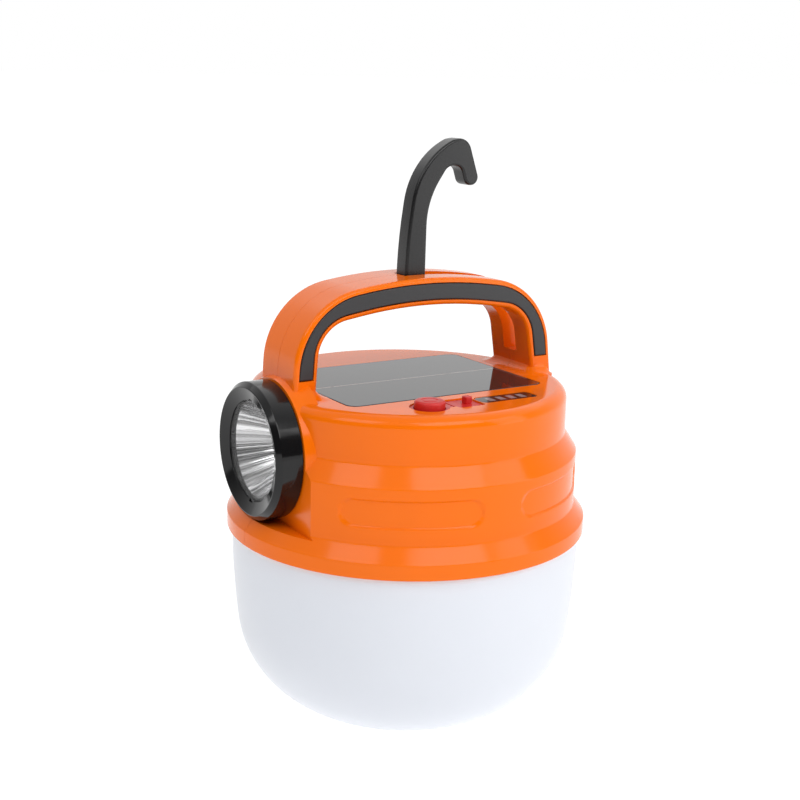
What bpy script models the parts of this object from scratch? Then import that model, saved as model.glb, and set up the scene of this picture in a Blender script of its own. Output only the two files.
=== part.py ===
"""Rechargeable hanging work lantern: a domed lamp with a solar lid, a torch, a carry handle and a folding hook.

Frame: metres, +Z up, origin under the middle of the dome, which stands on its small flat.
The torch faces -X, the controls are on the -Y side of the deck, the hook folds towards +X.
"""
from math import acos, atan2, ceil, cos, hypot, pi, radians, sin, sqrt, tan

import bmesh
import bpy
from mathutils import Matrix, Vector

# ---------------------------------------------------------------- driving dimensions, metres
GAP = 0.0003                 # between pieces that touch
RUN_GAP = 0.0001             # pin in its bore
TURN_STEPS = 48              # sides of the large round pieces
SMALL_STEPS = 20             # sides of pins, bores and other small round pieces
SCREW_STEPS = 16
MIDDLE_STEPS = 36            # sides of the torch's inner pieces, the cells and the button
WELD = 0.000002              # points closer than this are one point
OVERCUT = 0.001              # how far a cutter passes the face that it cuts through
OUTLINE_TOLERANCE = 0.0001   # how far the sides of a rounded outline stay inside its arcs

# Diffuser dome
DOME_REVEAL = 0.00185        # brim past the dome's mouth
DOME_DEPTH = 0.0701
DOME_WALL = 0.0018
DOME_LEAN = radians(6.4)     # how far the side leans in before the corner
DOME_CORNER_R = 0.0385
DOME_CAP_HEADING = radians(80.8)
DOME_FLAT_R = 0.016          # flat that it stands on
DOME_NECK = 0.0042           # neck that goes up inside the brim
DOME_STEPS = (3, 8, 1)       # steps along the side, round the corner and across the cap
DOME_INNER_STEPS = (2, 5, 1)
GASKET_EDGE_GAP = 0.0006

# Housing, two half shells that meet on the plane y = 0
BRIM_R = 0.065
BRIM_H = 0.0053
LEDGE_H = 0.005              # sloping ledge from the brim to the lower step
LEDGE_RUN = 0.0039           # how far the lower step stands in from the brim
LOWER_H = 0.0192
CONE_H = 0.0066              # slope from the lower step to the upper step
CONE_RUN = 0.0043            # how far the upper step stands in from the lower one
UPPER_H = 0.0163
DECK_EDGE_R = 0.0043
WALL = 0.0022
DECK_WALL = 0.0044           # thicker, because it holds the panel and the controls
PILL_ANGLE = radians(30)     # each shallow recess on the lower step, from the middle of its shell
PILL_HALF_SPAN = radians(22.7)
PILL_H = 0.0093
PILL_DEPTH = 0.0006
PILL_RISE = 0.0010           # above the middle of the lower step

# Carry handle
HANDLE_DEPTH = 0.025
HANDLE_SETBACK = 0.0016      # outer face at the deck, in from the upper step
HANDLE_LEAN_IN = 0.0043      # from the foot in to where the lines of side and top would meet
HANDLE_APEX_RISE = 0.0403    # apex of the two top lines above the deck
HANDLE_TORCH_UPRIGHT = 0.0024   # the foot on the torch's side stands in by this, so that pillar leans less
HANDLE_CROWN_FALL = 0.0079   # apex down to the corner point
HANDLE_CORNER_R = 0.028
HANDLE_CROWN_R = 0.18
HANDLE_BAND_TOP = 0.0097     # band thickness over the hand opening
HANDLE_BAND_SIDE = 0.0087
HANDLE_INNER_R = 0.013
HANDLE_EDGE = 0.0012         # bevel along the band's edges
HANDLE_ROOT = 0.003          # how far the pillars go into the deck
HANDLE_LEDGE = 0.0016        # wall between the hollow in the handle and the grips
HANDLE_HOLLOW_RISE = 0.0087  # floor of the hollow above the deck
HANDLE_HOLLOW_X = -0.009     # the hollow starts here and runs towards +X
FOOT_FLARE = 0.004           # hollow fillet round each foot
FOOT_ROWS = 5
FOOT_SINK = 0.0015
FOOT_INSET = 0.0006          # foot inside the pillar's outer face
FOOT_CORNER_R = 0.0018
GRIP_INSET = 0.002           # grip edge from the band's edge
GRIP_END_RISE = 0.0066       # grip end above the deck
GRIP_RECESS = 0.0015
GRIP_PROUD = 0.0002

# Folding hook
HOOK_THICK = 0.0070
HOOK_SIDE_GAP = 0.00035
HOOK_HALF = 0.0042           # half width of the shank
HOOK_SINK = 0.00035          # folded hook below the handle's outer face
HOOK_FLOOR_GAP = 0.0006
HOOK_EDGE = 0.0007
HOOK_BACK_X = 0.0155         # the back follows the handle's line as far as this
HOOK_HEAD = ((0.0208, 0.0521, 0.0050), (0.0266, 0.0349, 0.0028), (0.0202, 0.0351, 0.0028),
             (0.0182, 0.0413, 0.003), (0.0132, 0.0427, 0.0042), (0.0045, 0.0299, 0.028))
#            corners of the head, the barb and the throat: across and up from the pin, and each one's radius
GROOVE_END_X = 0.0345        # the groove's floor ends here and the barb's slot goes on down
GROOVE_SLOT_DROP = 0.0265    # lower end of the barb's slot below the pin
PIN_R = 0.0015
PIN_LENGTH = 0.019

# Torch, on an axis along -X
TORCH_RISE = 0.0335          # axis above the brim's lower edge
TORCH_FLAT_DEPTH = 0.0068    # flat that the bezel seats on, in from the lower step
BEZEL_R = 0.0238
BEZEL_LENGTH = 0.0098        # from the flat to the bezel's front
BEZEL_CHAMFER = 0.0018
BEZEL_MOUTH_R = 0.0174
BEZEL_MOUTH_SINK = 0.0018
SPIGOT_R = 0.0197            # sleeve of the bezel inside the housing
SPIGOT_WALL = 0.0011
SPIGOT_LENGTH = 0.0053
LENS_THICK = 0.0013
REFLECTOR_WALL = 0.0011
REFLECTOR_FOCUS = 0.004
REFLECTOR_HOLE_R = 0.0034
BOSS_FRONT_R = 0.0244
BOSS_BACK_R = 0.027
BOSS_LENGTH = 0.0073
TORCH_SEAT_Y = 0.064         # width of the flat
TORCH_WALL_Y = 0.056         # width of the thicker wall behind the flat
TORCH_SEAT_DROP = 0.0011     # floor of the flat below the lower step
TORCH_GASKET_SINK = 0.001
TORCH_GASKET_EDGE = 0.0009   # rim of the bezel outside the gasket
LENS_LIP = 0.0005            # lip of the bezel in front of the lens
REFLECTOR_RINGS = 6
REFLECTOR_RIM = 0.0012
LED_LENS_GAP = 0.0009        # clear of the reflector's hole
LED_LENS_RISE = 0.0008
LED_LENS_ROWS = 4
TORCH_BOARD_R = 0.009
TORCH_SINK_EDGE = 0.0012     # heatsink past the board's edge
TORCH_SINK_THICK = 0.002
TORCH_SINK_HOLE_R = 0.003

# Solar panel
PANEL_X = 0.079
PANEL_Y = 0.058
PANEL_CENTRE_Y = 0.001
PANEL_THICK = 0.0015
PANEL_CORNER_R = 0.004
PANEL_PROUD = 0.0001
ADHESIVE_THICK = 0.0004
ADHESIVE_INSET = 0.002
LEAD_HOLE_X = 0.030          # the panel's lead goes down here
LEAD_HOLE_Y = -0.020
LEAD_HOLE_R = 0.0015

# Controls on the deck
BUTTON_X = -0.0158
CONTROL_Y = -0.0388
BUTTON_R = 0.0052
BUTTON_PROUD = 0.0023
BUTTON_TRAVEL = 0.0008
STEM_R = 0.002
STEM_PAST = 0.0002           # stem below the deck
BUTTON_EDGE = 0.0009
POCKET_R = 0.0068            # pocket round the button
POCKET_DEPTH = 0.0016
COVER_LENGTH = 0.0106        # pocket of the port cover
COVER_WIDTH = 0.0115
NECK_LENGTH = 0.0026
NECK_WIDTH = 0.007
COVER_CORNER_R = 0.0012
SILICONE_THICK = 0.0009
PEG_SIDE = 0.0028
PEG_H = 0.0025
PEG_SHIFT = 0.0011           # peg from the middle of the cover
PEG_CORNER_R = 0.0005
PLUG_DEPTH = 0.0016
PLUG_CORNER_R = 0.0008
SINK_IN = 0.0002             # how far a joined boss starts inside its plate
PORT_X = 0.0100              # opening in the deck over the socket
PORT_Y = 0.0042
PORT_CORNER_R = 0.001
WINDOW_X = 0.0224
WINDOW_Y = 0.0075
WINDOW_THICK = 0.0008
WINDOW_SINK = 0.0001         # window below the deck
WINDOW_CORNER_R = 0.0022
BARS = 4
BAR_PITCH = 0.0043
BAR_X = 0.0024
BAR_Y = 0.0042
GUIDE_THICK = 0.001
GUIDE_EDGE_X = 0.0005        # light guide past its end bars
GUIDE_EDGE_Y = 0.001

# Inside
PLATE_THICK = 0.0016
PLATE_RISE = 0.0021          # top of the base plate above the brim
PLATE_EDGE_GAP = 0.0005
BOARD_THICK = 0.0016
BOARD_DROP = 0.0102          # top of the control board below the deck
BOARD_X = 0.050
BOARD_Y = 0.014
BOARD_SHIFT_X = 0.018        # middle of the board from the button
BOARD_SHIFT_Y = 0.0008
BOARD_CORNER_R = 0.001
SWITCH_SIDE = 0.006
SWITCH_DROP = 0.0022         # top of the switch below the deck's underside
SWITCH_CORNER_R = 0.0005
WELL_R = 0.002
WELL_DEPTH = 0.002
PLUNGER_R = 0.0016
SOCKET_X = 0.009
SOCKET_Y = 0.0032
SOCKET_WALL = 0.0004
SOCKET_PAST = 0.0006         # socket into the port opening
SOCKET_FLOOR = 0.001
SOCKET_CORNER_R = 0.001
TONGUE_X = 0.0066
TONGUE_Y = 0.0007
TONGUE_SINK = 0.0008
LED_STRIP_Y = 0.003
LED_STRIP_THICK = 0.0006
LED_X = 0.0016
LED_Y = 0.0012
LED_H = 0.0007
LAMP_BOARD_R = 0.035
LAMP_BOARD_THICK = 0.0012
LAMP_BOARD_STEPS = 40
LAMP_SCREW_Y = 0.028
LAMP_LEAD_X = -0.012
LAMP_LEAD_R = 0.002
CHIP_RINGS = ((0.024, 12), (0.011, 6))   # radius and number of lamps in each ring
CHIP_X = 0.0028
CHIP_Y = 0.0035
CHIP_H = 0.0007
CELL_R = 0.0092
CELL_LENGTH = 0.065
CELL_SPACING = 0.0200
CELLS_CENTRE_X = 0.012
CELL_TIP_R = 0.0028
CELL_TIP_H = 0.001
CELL_RISE = 0.0055           # underside of the cells above the base plate
HOLDER_EDGE_X = 0.001        # holder past the cells
HOLDER_EDGE_Y = 0.003
HOLDER_DROP = 0.002          # top of the holder below the cells' axes
HOLDER_CORNER_R = 0.002
BED_PAST = 0.0012            # bed longer than its cell at each end
STRIP_THICK = 0.0004
STRIP_H = 0.005
STRIP_PAST = 0.003           # strip past the cells' axes
STRIP_RISE = 0.0015
STRIP_CORNER_R = 0.001
LEAD_R = 0.0007
LEAD_RINGS = 4               # rings of a lead between two of its points
SCREW_R = 0.0013
SCREW_HEAD_R = 0.0026
SCREW_HEAD_H = 0.0018
BASE_SCREW_IN = 0.009        # in from the brim
BASE_SCREW_ANGLE = radians(60)
BASE_SCREW_LENGTH = 0.0115
BASE_COLUMN_TOP = 0.014      # above the foot of the lower step
COLUMN_R = 0.0036
CASE_SCREW_X = 0.038
CASE_SCREW_RISE = 0.0073     # above the foot of the lower step
CASE_SCREW_SEAT = 0.012      # seat of the head behind the split
CASE_SCREW_LENGTH = 0.0195
PILLAR_SCREW_IN = 0.0054      # in from the outer face of the foot
PILLAR_SCREW_RISE = 0.004
PILLAR_SCREW_SEAT = 0.007
PILLAR_SCREW_LENGTH = 0.0135
LAMP_SCREW_LENGTH = 0.0034
HEAD_COLUMN_WALL = 0.0017    # column wall round the counterbore of a case screw
BORE_PAST = 0.002            # pilot hole past the tip of its screw

# ---------------------------------------------------------------- levels and places that follow
DOME_R = BRIM_R - DOME_REVEAL   # outer radius just under the brim
LOWER_R = BRIM_R - LEDGE_RUN
UPPER_R = LOWER_R - CONE_RUN
HANDLE_FOOT_X = UPPER_R - HANDLE_SETBACK
HANDLE_CORNER_X = HANDLE_FOOT_X - HANDLE_LEAN_IN
PILLAR_SCREW_X = HANDLE_FOOT_X - PILLAR_SCREW_IN
BASE_SCREW_RING = BRIM_R - BASE_SCREW_IN
TORCH_FLAT_X = LOWER_R - TORCH_FLAT_DEPTH
BEZEL_FRONT_X = TORCH_FLAT_X + BEZEL_LENGTH
BRIM_Z = DOME_DEPTH + GAP
BRIM_TOP_Z = BRIM_Z + BRIM_H
LOWER_Z = BRIM_TOP_Z + LEDGE_H
LOWER_TOP_Z = LOWER_Z + LOWER_H
UPPER_Z = LOWER_TOP_Z + CONE_H
DECK_Z = UPPER_Z + UPPER_H
DECK_UNDER_Z = DECK_Z - DECK_WALL
TORCH_Z = BRIM_Z + TORCH_RISE
HANDLE_SLOPE = atan2(HANDLE_CROWN_FALL, HANDLE_CORNER_X)
HANDLE_TOP_Z = DECK_Z + HANDLE_APEX_RISE - HANDLE_CROWN_R * (1 / cos(HANDLE_SLOPE) - 1)
PIVOT_Z = HANDLE_TOP_Z - HOOK_SINK - HOOK_HALF
PLATE_TOP_Z = BRIM_TOP_Z + PLATE_RISE
BOARD_TOP_Z = DECK_Z - BOARD_DROP
COVER_X0 = BUTTON_X + sqrt(POCKET_R ** 2 - (NECK_WIDTH / 2) ** 2) + NECK_LENGTH
COVER_X1 = COVER_X0 + COVER_LENGTH
PORT_CENTRE_X = (COVER_X0 + COVER_X1) / 2
WINDOW_CENTRE_X = COVER_X1 + GAP * 2 + WINDOW_X / 2
CELL_Z = PLATE_TOP_Z + CELL_RISE + CELL_R
CASE_SCREW_Z = LOWER_Z + CASE_SCREW_RISE
OUTSIDE = 0.1                # reach of a cutter that only has to pass the outside


# ---------------------------------------------------------------- outlines
def rounded(corners, closed=True):
    """Points of an outline whose corners (x, y, radius) become arcs; a radius of 0 keeps the corner."""
    points = []
    count = len(corners)
    for i, (x, y, r) in enumerate(corners):
        if r <= 0 or (not closed and i in (0, count - 1)):
            points.append((x, y))
            continue
        here = Vector((x, y))
        before = (Vector(corners[i - 1][:2]) - here).normalized()
        after = (Vector(corners[(i + 1) % count][:2]) - here).normalized()
        half = before.angle(after) / 2
        centre = here + (before + after).normalized() * (r / sin(half))
        first = here + before * (r / tan(half)) - centre
        turn = pi - 2 * half
        if before.x * after.y - before.y * after.x > 0:
            turn = -turn
        steps = max(2, ceil(abs(turn) / (2 * acos(1 - min(OUTLINE_TOLERANCE / r, 1)))))
        for k in range(steps + 1):
            spoke = Matrix.Rotation(turn * k / steps, 2) @ first
            points.append(tuple(centre + spoke))
    return points


def shifted(corners, distance):
    """An open line of corners moved to the right of its run, its arcs kept concentric."""
    lines = []
    for (x0, y0, _), (x1, y1, _) in zip(corners, corners[1:]):
        along = Vector((x1 - x0, y1 - y0)).normalized()
        side = Vector((along.y, -along.x)) * distance
        lines.append((Vector((x0, y0)) + side, along))
    moved = [(*lines[0][0], 0)]
    for (p, u), (q, v), corner in zip(lines, lines[1:], corners[1:-1]):
        reach = ((q - p).x * v.y - (q - p).y * v.x) / (u.x * v.y - u.y * v.x)
        moved.append((*(p + u * reach), max(corner[2] - distance, 0)))
    last = Vector(corners[-1][:2]) - Vector(corners[-2][:2])
    moved.append((*(lines[-1][0] + last), 0))
    return moved


def rectangle(x, y, width, height, radius=0.0):
    """A rectangle about (x, y), counter-clockwise, with equal round corners."""
    w, h = width / 2, height / 2
    corners = [(x - w, y - h), (x + w, y - h), (x + w, y + h), (x - w, y + h)]
    return rounded([(*corner, radius) for corner in corners])


def circle(x, y, radius, steps=SMALL_STEPS):
    return [(x + radius * cos(2 * pi * k / steps), y + radius * sin(2 * pi * k / steps)) for k in range(steps)]


# ---------------------------------------------------------------- solids
def place(name, bm):
    """Put a bmesh in the scene as an object with its faces pointing out."""
    bmesh.ops.recalc_face_normals(bm, faces=bm.faces)
    if bm.calc_volume(signed=True) < 0:
        bmesh.ops.reverse_faces(bm, faces=bm.faces)
    mesh = bpy.data.meshes.new(name)
    bm.to_mesh(mesh)
    bm.free()
    obj = bpy.data.objects.new(name, mesh)
    bpy.context.collection.objects.link(obj)
    return obj


def turned(name, profile, steps=TURN_STEPS, axis="Z", centre=(0, 0, 0)):
    """Spin a closed profile of (radius, height) points; along X the height is measured towards -X."""
    bm = bmesh.new()
    ring = [bm.verts.new((r, 0, h)) for r, h in profile]
    edges = [bm.edges.new(pair) for pair in zip(ring, ring[1:] + ring[:1])]
    bmesh.ops.spin(bm, geom=ring + edges, cent=(0, 0, 0), axis=(0, 0, 1), angle=2 * pi, steps=steps,
                   use_merge=True)
    bmesh.ops.remove_doubles(bm, verts=bm.verts, dist=WELD)
    bmesh.ops.dissolve_degenerate(bm, edges=bm.edges, dist=WELD)
    loose = [e for e in bm.edges if not e.link_faces]
    bmesh.ops.delete(bm, geom=loose, context="EDGES")
    on_axis = [f for f in bm.faces if all(hypot(v.co.x, v.co.y) < WELD for v in f.verts)]
    bmesh.ops.delete(bm, geom=on_axis, context="FACES")
    tilt = {"Z": Matrix(), "X": Matrix.Rotation(-pi / 2, 4, "Y"), "Y": Matrix.Rotation(pi / 2, 4, "X")}[axis]
    bm.transform(Matrix.Translation(centre) @ tilt)
    return place(name, bm)


def prism(name, outline, low, high, axis="Z"):
    """Extrude an outline; axis Z reads it as (x, y), axis Y as (x, z) and axis X as (y, z)."""
    bm = bmesh.new()
    spots = {"Z": lambda a, b: (a, b, low), "Y": lambda a, b: (a, low, b), "X": lambda a, b: (low, a, b)}
    face = bm.faces.new([bm.verts.new(spots[axis](a, b)) for a, b in outline])
    raised = bmesh.ops.extrude_face_region(bm, geom=[face])["geom"]
    step = Vector({"Z": (0, 0, 1), "Y": (0, 1, 0), "X": (1, 0, 0)}[axis]) * (high - low)
    bmesh.ops.translate(bm, vec=step, verts=[g for g in raised if isinstance(g, bmesh.types.BMVert)])
    return place(name, bm)


def rod(name, radius, low, high, axis="Z", at=(0, 0), steps=SMALL_STEPS):
    """A round bar along an axis; at is its place across that axis, as prism reads it."""
    return prism(name, circle(*at, radius, steps), low, high, axis)


def lofted(name, loops):
    """Bridge closed loops of equal count, and cap the first and the last."""
    bm = bmesh.new()
    rings = [[bm.verts.new(p) for p in loop] for loop in loops]
    for low, high in zip(rings, rings[1:]):
        for a, b, c, d in zip(low, low[1:] + low[:1], high[1:] + high[:1], high):
            bm.faces.new((a, b, c, d))
    bm.faces.new(rings[0])
    bm.faces.new(rings[-1])
    return place(name, bm)


def combine(target, tool, operation):
    """Apply a Boolean to the target and take the tool away."""
    cut = target.modifiers.new("cut", "BOOLEAN")
    cut.operation = operation
    cut.object = tool
    graph = bpy.context.evaluated_depsgraph_get()
    mesh = bpy.data.meshes.new_from_object(target.evaluated_get(graph))
    target.modifiers.clear()
    tidy = bmesh.new()
    tidy.from_mesh(mesh)
    bmesh.ops.remove_doubles(tidy, verts=tidy.verts, dist=WELD)
    bmesh.ops.dissolve_degenerate(tidy, edges=tidy.edges, dist=WELD)
    tidy.to_mesh(mesh)
    tidy.free()
    target.data = mesh
    bpy.data.objects.remove(tool)
    return target


def cut(target, *tools):
    for tool in tools:
        combine(target, tool, "DIFFERENCE")
    return target


def join(target, *tools):
    for tool in tools:
        combine(target, tool, "UNION")
    return target


def clip(target, tool):
    return combine(target, tool, "INTERSECT")


def soften(obj, width, segments=1, angle=radians(50)):
    """Round the sharp edges of a finished solid."""
    bevel = obj.modifiers.new("edges", "BEVEL")
    bevel.width = width
    bevel.segments = segments
    bevel.angle_limit = angle
    return obj




def finish(obj, name, colour, roughness, metallic=0.0, round_piece=True, origin=None):
    """Name the piece, give it its own material, and move its origin onto its joint's axis if it has one."""
    obj.name = name
    obj.data.name = name
    material = bpy.data.materials.new(name)
    material.use_nodes = True
    shader = material.node_tree.nodes["Principled BSDF"]
    shader.inputs["Base Color"].default_value = (*colour, 1.0)
    shader.inputs["Roughness"].default_value = roughness
    shader.inputs["Metallic"].default_value = metallic
    obj.data.materials.clear()
    obj.data.materials.append(material)
    if round_piece:
        obj.data.shade_smooth()
        obj.data.set_sharp_from_angle(angle=radians(30))
    if origin:
        obj.data.transform(Matrix.Translation(-Vector(origin)))
        obj.location = origin
    return obj


ORANGE = (0.87, 0.19, 0.01)
BLACK = (0.015, 0.015, 0.016)
RED = (0.6, 0.02, 0.02)
STEEL = (0.62, 0.62, 0.63)
BOARD_GREEN = (0.02, 0.14, 0.06)


# ---------------------------------------------------------------- handle lines, in the XZ plane
def handle_outer(inset=0.0):
    """Outer line of the handle from foot to foot, moved inwards by inset."""
    apex = DECK_Z + HANDLE_APEX_RISE
    corner = apex - HANDLE_CROWN_FALL
    foot = DECK_Z - HANDLE_ROOT
    line = [(HANDLE_TORCH_UPRIGHT - HANDLE_FOOT_X, foot, 0), (-HANDLE_CORNER_X, corner, HANDLE_CORNER_R),
            (0, apex, HANDLE_CROWN_R), (HANDLE_CORNER_X, corner, HANDLE_CORNER_R), (HANDLE_FOOT_X, foot, 0)]
    return shifted(line, inset)


def handle_inner(outset=0.0):
    """Line of the hand opening from foot to foot, moved outwards into the band by outset."""
    apex = DECK_Z + HANDLE_APEX_RISE - HANDLE_BAND_TOP
    corner = apex - HANDLE_CROWN_FALL * (HANDLE_CORNER_X - HANDLE_BAND_SIDE) / HANDLE_CORNER_X
    foot = DECK_Z - HANDLE_ROOT
    side = HANDLE_BAND_SIDE
    line = [(side + HANDLE_TORCH_UPRIGHT - HANDLE_FOOT_X, foot, 0), (side - HANDLE_CORNER_X, corner, HANDLE_INNER_R),
            (0, apex, HANDLE_CROWN_R - HANDLE_BAND_TOP), (HANDLE_CORNER_X - side, corner, HANDLE_INNER_R),
            (HANDLE_FOOT_X - side, foot, 0)]
    return shifted(line, -outset)


def trimmed(points, floor):
    """The part of a foot-to-foot line above a level, with its ends exactly on that level."""
    kept = [p for p in points if p[1] > floor]
    first = points[points.index(kept[0]) - 1]
    last = points[points.index(kept[-1]) + 1]
    ends = []
    for low, high in ((first, kept[0]), (last, kept[-1])):
        share = (floor - low[1]) / (high[1] - low[1])
        ends.append((low[0] + (high[0] - low[0]) * share, floor))
    return [ends[0]] + kept + [ends[1]]


def band(edge, floor=None):
    """Closed outline of the handle's band, a distance inside its own edges."""
    outer = rounded(handle_outer(edge), closed=False)
    inner = rounded(handle_inner(edge), closed=False)
    if floor is not None:
        outer = trimmed(outer, floor)
        inner = trimmed(inner, floor)
    return outer + inner[::-1]


def grip_outline(clearance):
    """Outline of a grip, clearance larger all round than the grip itself."""
    edge = GRIP_INSET - clearance
    return band(edge, DECK_Z + GRIP_END_RISE - clearance)


# ---------------------------------------------------------------- diffuser dome
def dome_profile(wall, counts):
    """Points from the rim down to the flat, a wall's thickness inside the outer face.

    counts gives the steps along the side, round the corner and across the cap.
    """
    corner_drop = DOME_CORNER_R * (sin(DOME_CAP_HEADING) - sin(DOME_LEAN))
    corner_run = DOME_CORNER_R * (cos(DOME_LEAN) - cos(DOME_CAP_HEADING))
    side_share = (1 - cos(DOME_LEAN)) / sin(DOME_LEAN)

    def cap_drop(side_drop):
        cap_r = (DOME_R - side_drop * side_share - corner_run) / cos(DOME_CAP_HEADING)
        return cap_r * (sin(acos(DOME_FLAT_R / cap_r)) - sin(DOME_CAP_HEADING))

    side_drop = DOME_DEPTH - corner_drop
    for _ in range(20):
        side_drop = DOME_DEPTH - corner_drop - cap_drop(side_drop)
    side_r = side_drop / sin(DOME_LEAN)
    corner_x = DOME_R - side_drop * side_share - DOME_CORNER_R * cos(DOME_LEAN)
    corner_z = DOME_DEPTH - side_drop + DOME_CORNER_R * sin(DOME_LEAN)
    cap_r = (corner_x + DOME_CORNER_R * cos(DOME_CAP_HEADING)) / cos(DOME_CAP_HEADING)
    flat_heading = acos(DOME_FLAT_R / cap_r)
    arcs = [(DOME_R - side_r, DOME_DEPTH, side_r, 0, DOME_LEAN),
            (corner_x, corner_z, DOME_CORNER_R, DOME_LEAN, DOME_CAP_HEADING),
            (0, cap_r * sin(flat_heading), cap_r, DOME_CAP_HEADING, flat_heading)]
    points = []
    for (cx, cz, r, start, end), steps in zip(arcs, counts):
        for k in range(0 if not points else 1, steps + 1):
            heading = start + (end - start) * k / steps
            points.append((cx + (r - wall) * cos(heading), cz - (r - wall) * sin(heading)))
    return points


def make_dome():
    neck_r = BRIM_R - WALL - GAP
    outer = dome_profile(0, DOME_STEPS)
    inner = dome_profile(DOME_WALL, DOME_INNER_STEPS)
    inner[-1] = (inner[-1][0], DOME_WALL)
    top = DOME_DEPTH + DOME_NECK
    neck = [(neck_r - DOME_WALL, top), (neck_r, top), (neck_r, DOME_DEPTH)]
    profile = neck + outer + [(0, 0), (0, DOME_WALL)] + inner[::-1][:-1]
    profile.append((neck_r - DOME_WALL, DOME_DEPTH - OVERCUT))
    finish(turned("dome", profile), "diffuser_dome", (0.86, 0.88, 0.92), 0.35)


def make_dome_gasket():
    inner_r = BASE_SCREW_RING + SCREW_HEAD_R + GASKET_EDGE_GAP
    low = DOME_DEPTH + DOME_NECK + GAP
    high = PLATE_TOP_Z - PLATE_THICK - GAP
    outer_r = housing_inner_radius(high) - PLATE_EDGE_GAP
    profile = [(inner_r, low), (outer_r, low), (outer_r, high), (inner_r, high)]
    finish(turned("gasket", profile), "dome_gasket", (0.75, 0.75, 0.74), 0.7)


# ---------------------------------------------------------------- housing
def housing_steps(inset, deck):
    """Stepped side of the housing from the brim up, moved inwards by inset."""
    ledge_shift = inset * tan(atan2(BRIM_R - LOWER_R, LEDGE_H) / 2)
    cone_shift = inset * tan(atan2(LOWER_R - UPPER_R, CONE_H) / 2)
    return [(BRIM_R - inset, BRIM_TOP_Z - ledge_shift), (LOWER_R - inset, LOWER_Z - ledge_shift),
            (LOWER_R - inset, LOWER_TOP_Z - cone_shift), (UPPER_R - inset, UPPER_Z - cone_shift),
            (UPPER_R - inset, deck)]


def housing_inner_radius(z):
    """Inner radius of the shells at a level on the ledge or below it."""
    (r0, z0), (r1, z1) = housing_steps(WALL, DECK_UNDER_Z)[:2]
    share = min(max((z - z0) / (z1 - z0), 0), 1)
    return r0 + (r1 - r0) * share


def housing_envelope():
    edge = rounded([(UPPER_R, UPPER_Z, 0), (UPPER_R, DECK_Z, DECK_EDGE_R), (0, DECK_Z, 0)], closed=False)
    sides = housing_steps(0, DECK_Z)[:3]
    return turned("housing", [(0, BRIM_Z), (BRIM_R, BRIM_Z)] + sides + edge)


def handle_solid():
    half = HANDLE_DEPTH / 2
    bow = soften(prism("handle", band(0), -half, half, "Y"), HANDLE_EDGE)
    return clip(bow, rod("limit", UPPER_R, 0, OUTSIDE * 2, steps=TURN_STEPS))


def foot_solid(side):
    """Hollow fillet between a pillar and the deck, on the three sides that face the deck."""
    foot_x = HANDLE_FOOT_X - (HANDLE_TORCH_UPRIGHT if side < 0 else 0)
    lean = (foot_x - HANDLE_CORNER_X) / (HANDLE_APEX_RISE - HANDLE_CROWN_FALL)
    loops = []
    for k in range(FOOT_ROWS + 1):
        angle = pi / 2 * k / FOOT_ROWS
        rise = FOOT_FLARE * (1 - cos(angle)) if k else -FOOT_SINK
        grow = FOOT_FLARE * (1 - sin(angle))
        low = foot_x - HANDLE_BAND_SIDE - max(rise, 0) * lean - grow
        high = foot_x - FOOT_INSET - FOOT_FLARE * lean
        width = high - low
        depth = HANDLE_DEPTH - FOOT_INSET + 2 * grow
        outline = rectangle(side * (low + width / 2), 0, width, depth, FOOT_CORNER_R)
        loops.append([(x, y, DECK_Z + rise) for x, y in outline])
    return lofted("foot", loops)


def torch_boss():
    back_x = TORCH_FLAT_X - BOSS_LENGTH
    slope = (BOSS_BACK_R - BOSS_FRONT_R) / BOSS_LENGTH
    front_x = TORCH_FLAT_X + OVERCUT
    profile = [(0, back_x), (BOSS_BACK_R, back_x), (BOSS_FRONT_R - slope * OVERCUT, front_x), (0, front_x)]
    return turned("boss", profile, TURN_STEPS, "X", (0, 0, TORCH_Z))


def housing_cavity():
    """Inside of the two shells, kept off the wall behind the torch's flat."""
    steps = housing_steps(WALL, DECK_UNDER_Z)
    low = BRIM_Z - OVERCUT
    profile = [(0, low), (BRIM_R - WALL, low)] + steps + [(0, DECK_UNDER_Z)]
    cavity = turned("cavity", profile)
    wall = rectangle(-OUTSIDE / 2 - TORCH_FLAT_X + WALL, 0, OUTSIDE, TORCH_WALL_Y)
    return cut(cavity, prism("torch wall", wall, PLATE_TOP_Z + GAP, DECK_UNDER_Z + OUTSIDE))


def screw_columns():
    """Hollow-to-be columns inside the shells that the screws bite in."""
    columns = []
    for at in base_screw_places():
        columns.append(rod("column", COLUMN_R, PLATE_TOP_Z + GAP, LOWER_Z + BASE_COLUMN_TOP, at=at))
    for side in (-1, 1):
        at = (side * CASE_SCREW_X, CASE_SCREW_Z)
        columns.append(rod("column", COLUMN_R, -OUTSIDE, OVERCUT, "Y", at))
        columns.append(rod("column", SCREW_HEAD_R + GAP + HEAD_COLUMN_WALL, OVERCUT / 2, OUTSIDE, "Y", at))
    trim = LOWER_R - WALL / 2
    return [clip(column, rod("limit", trim, 0, OUTSIDE * 2, steps=TURN_STEPS)) for column in columns]


def pill_cutter(angle):
    """Shallow recess with round ends, cut to an even depth into the lower step."""
    half = LOWER_R * sin(PILL_HALF_SPAN)
    middle = (LOWER_Z + LOWER_TOP_Z) / 2 + PILL_RISE
    outline = rectangle(0, middle, half * 2, PILL_H, PILL_H / 2 - WELD)
    tool = prism("pill", outline, -OUTSIDE, -LOWER_R / 2, "Y")
    tool = cut(tool, rod("core", LOWER_R - PILL_DEPTH, 0, OUTSIDE * 2, steps=TURN_STEPS))
    tool.data.transform(Matrix.Rotation(angle, 4, "Z"))
    return tool


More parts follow.
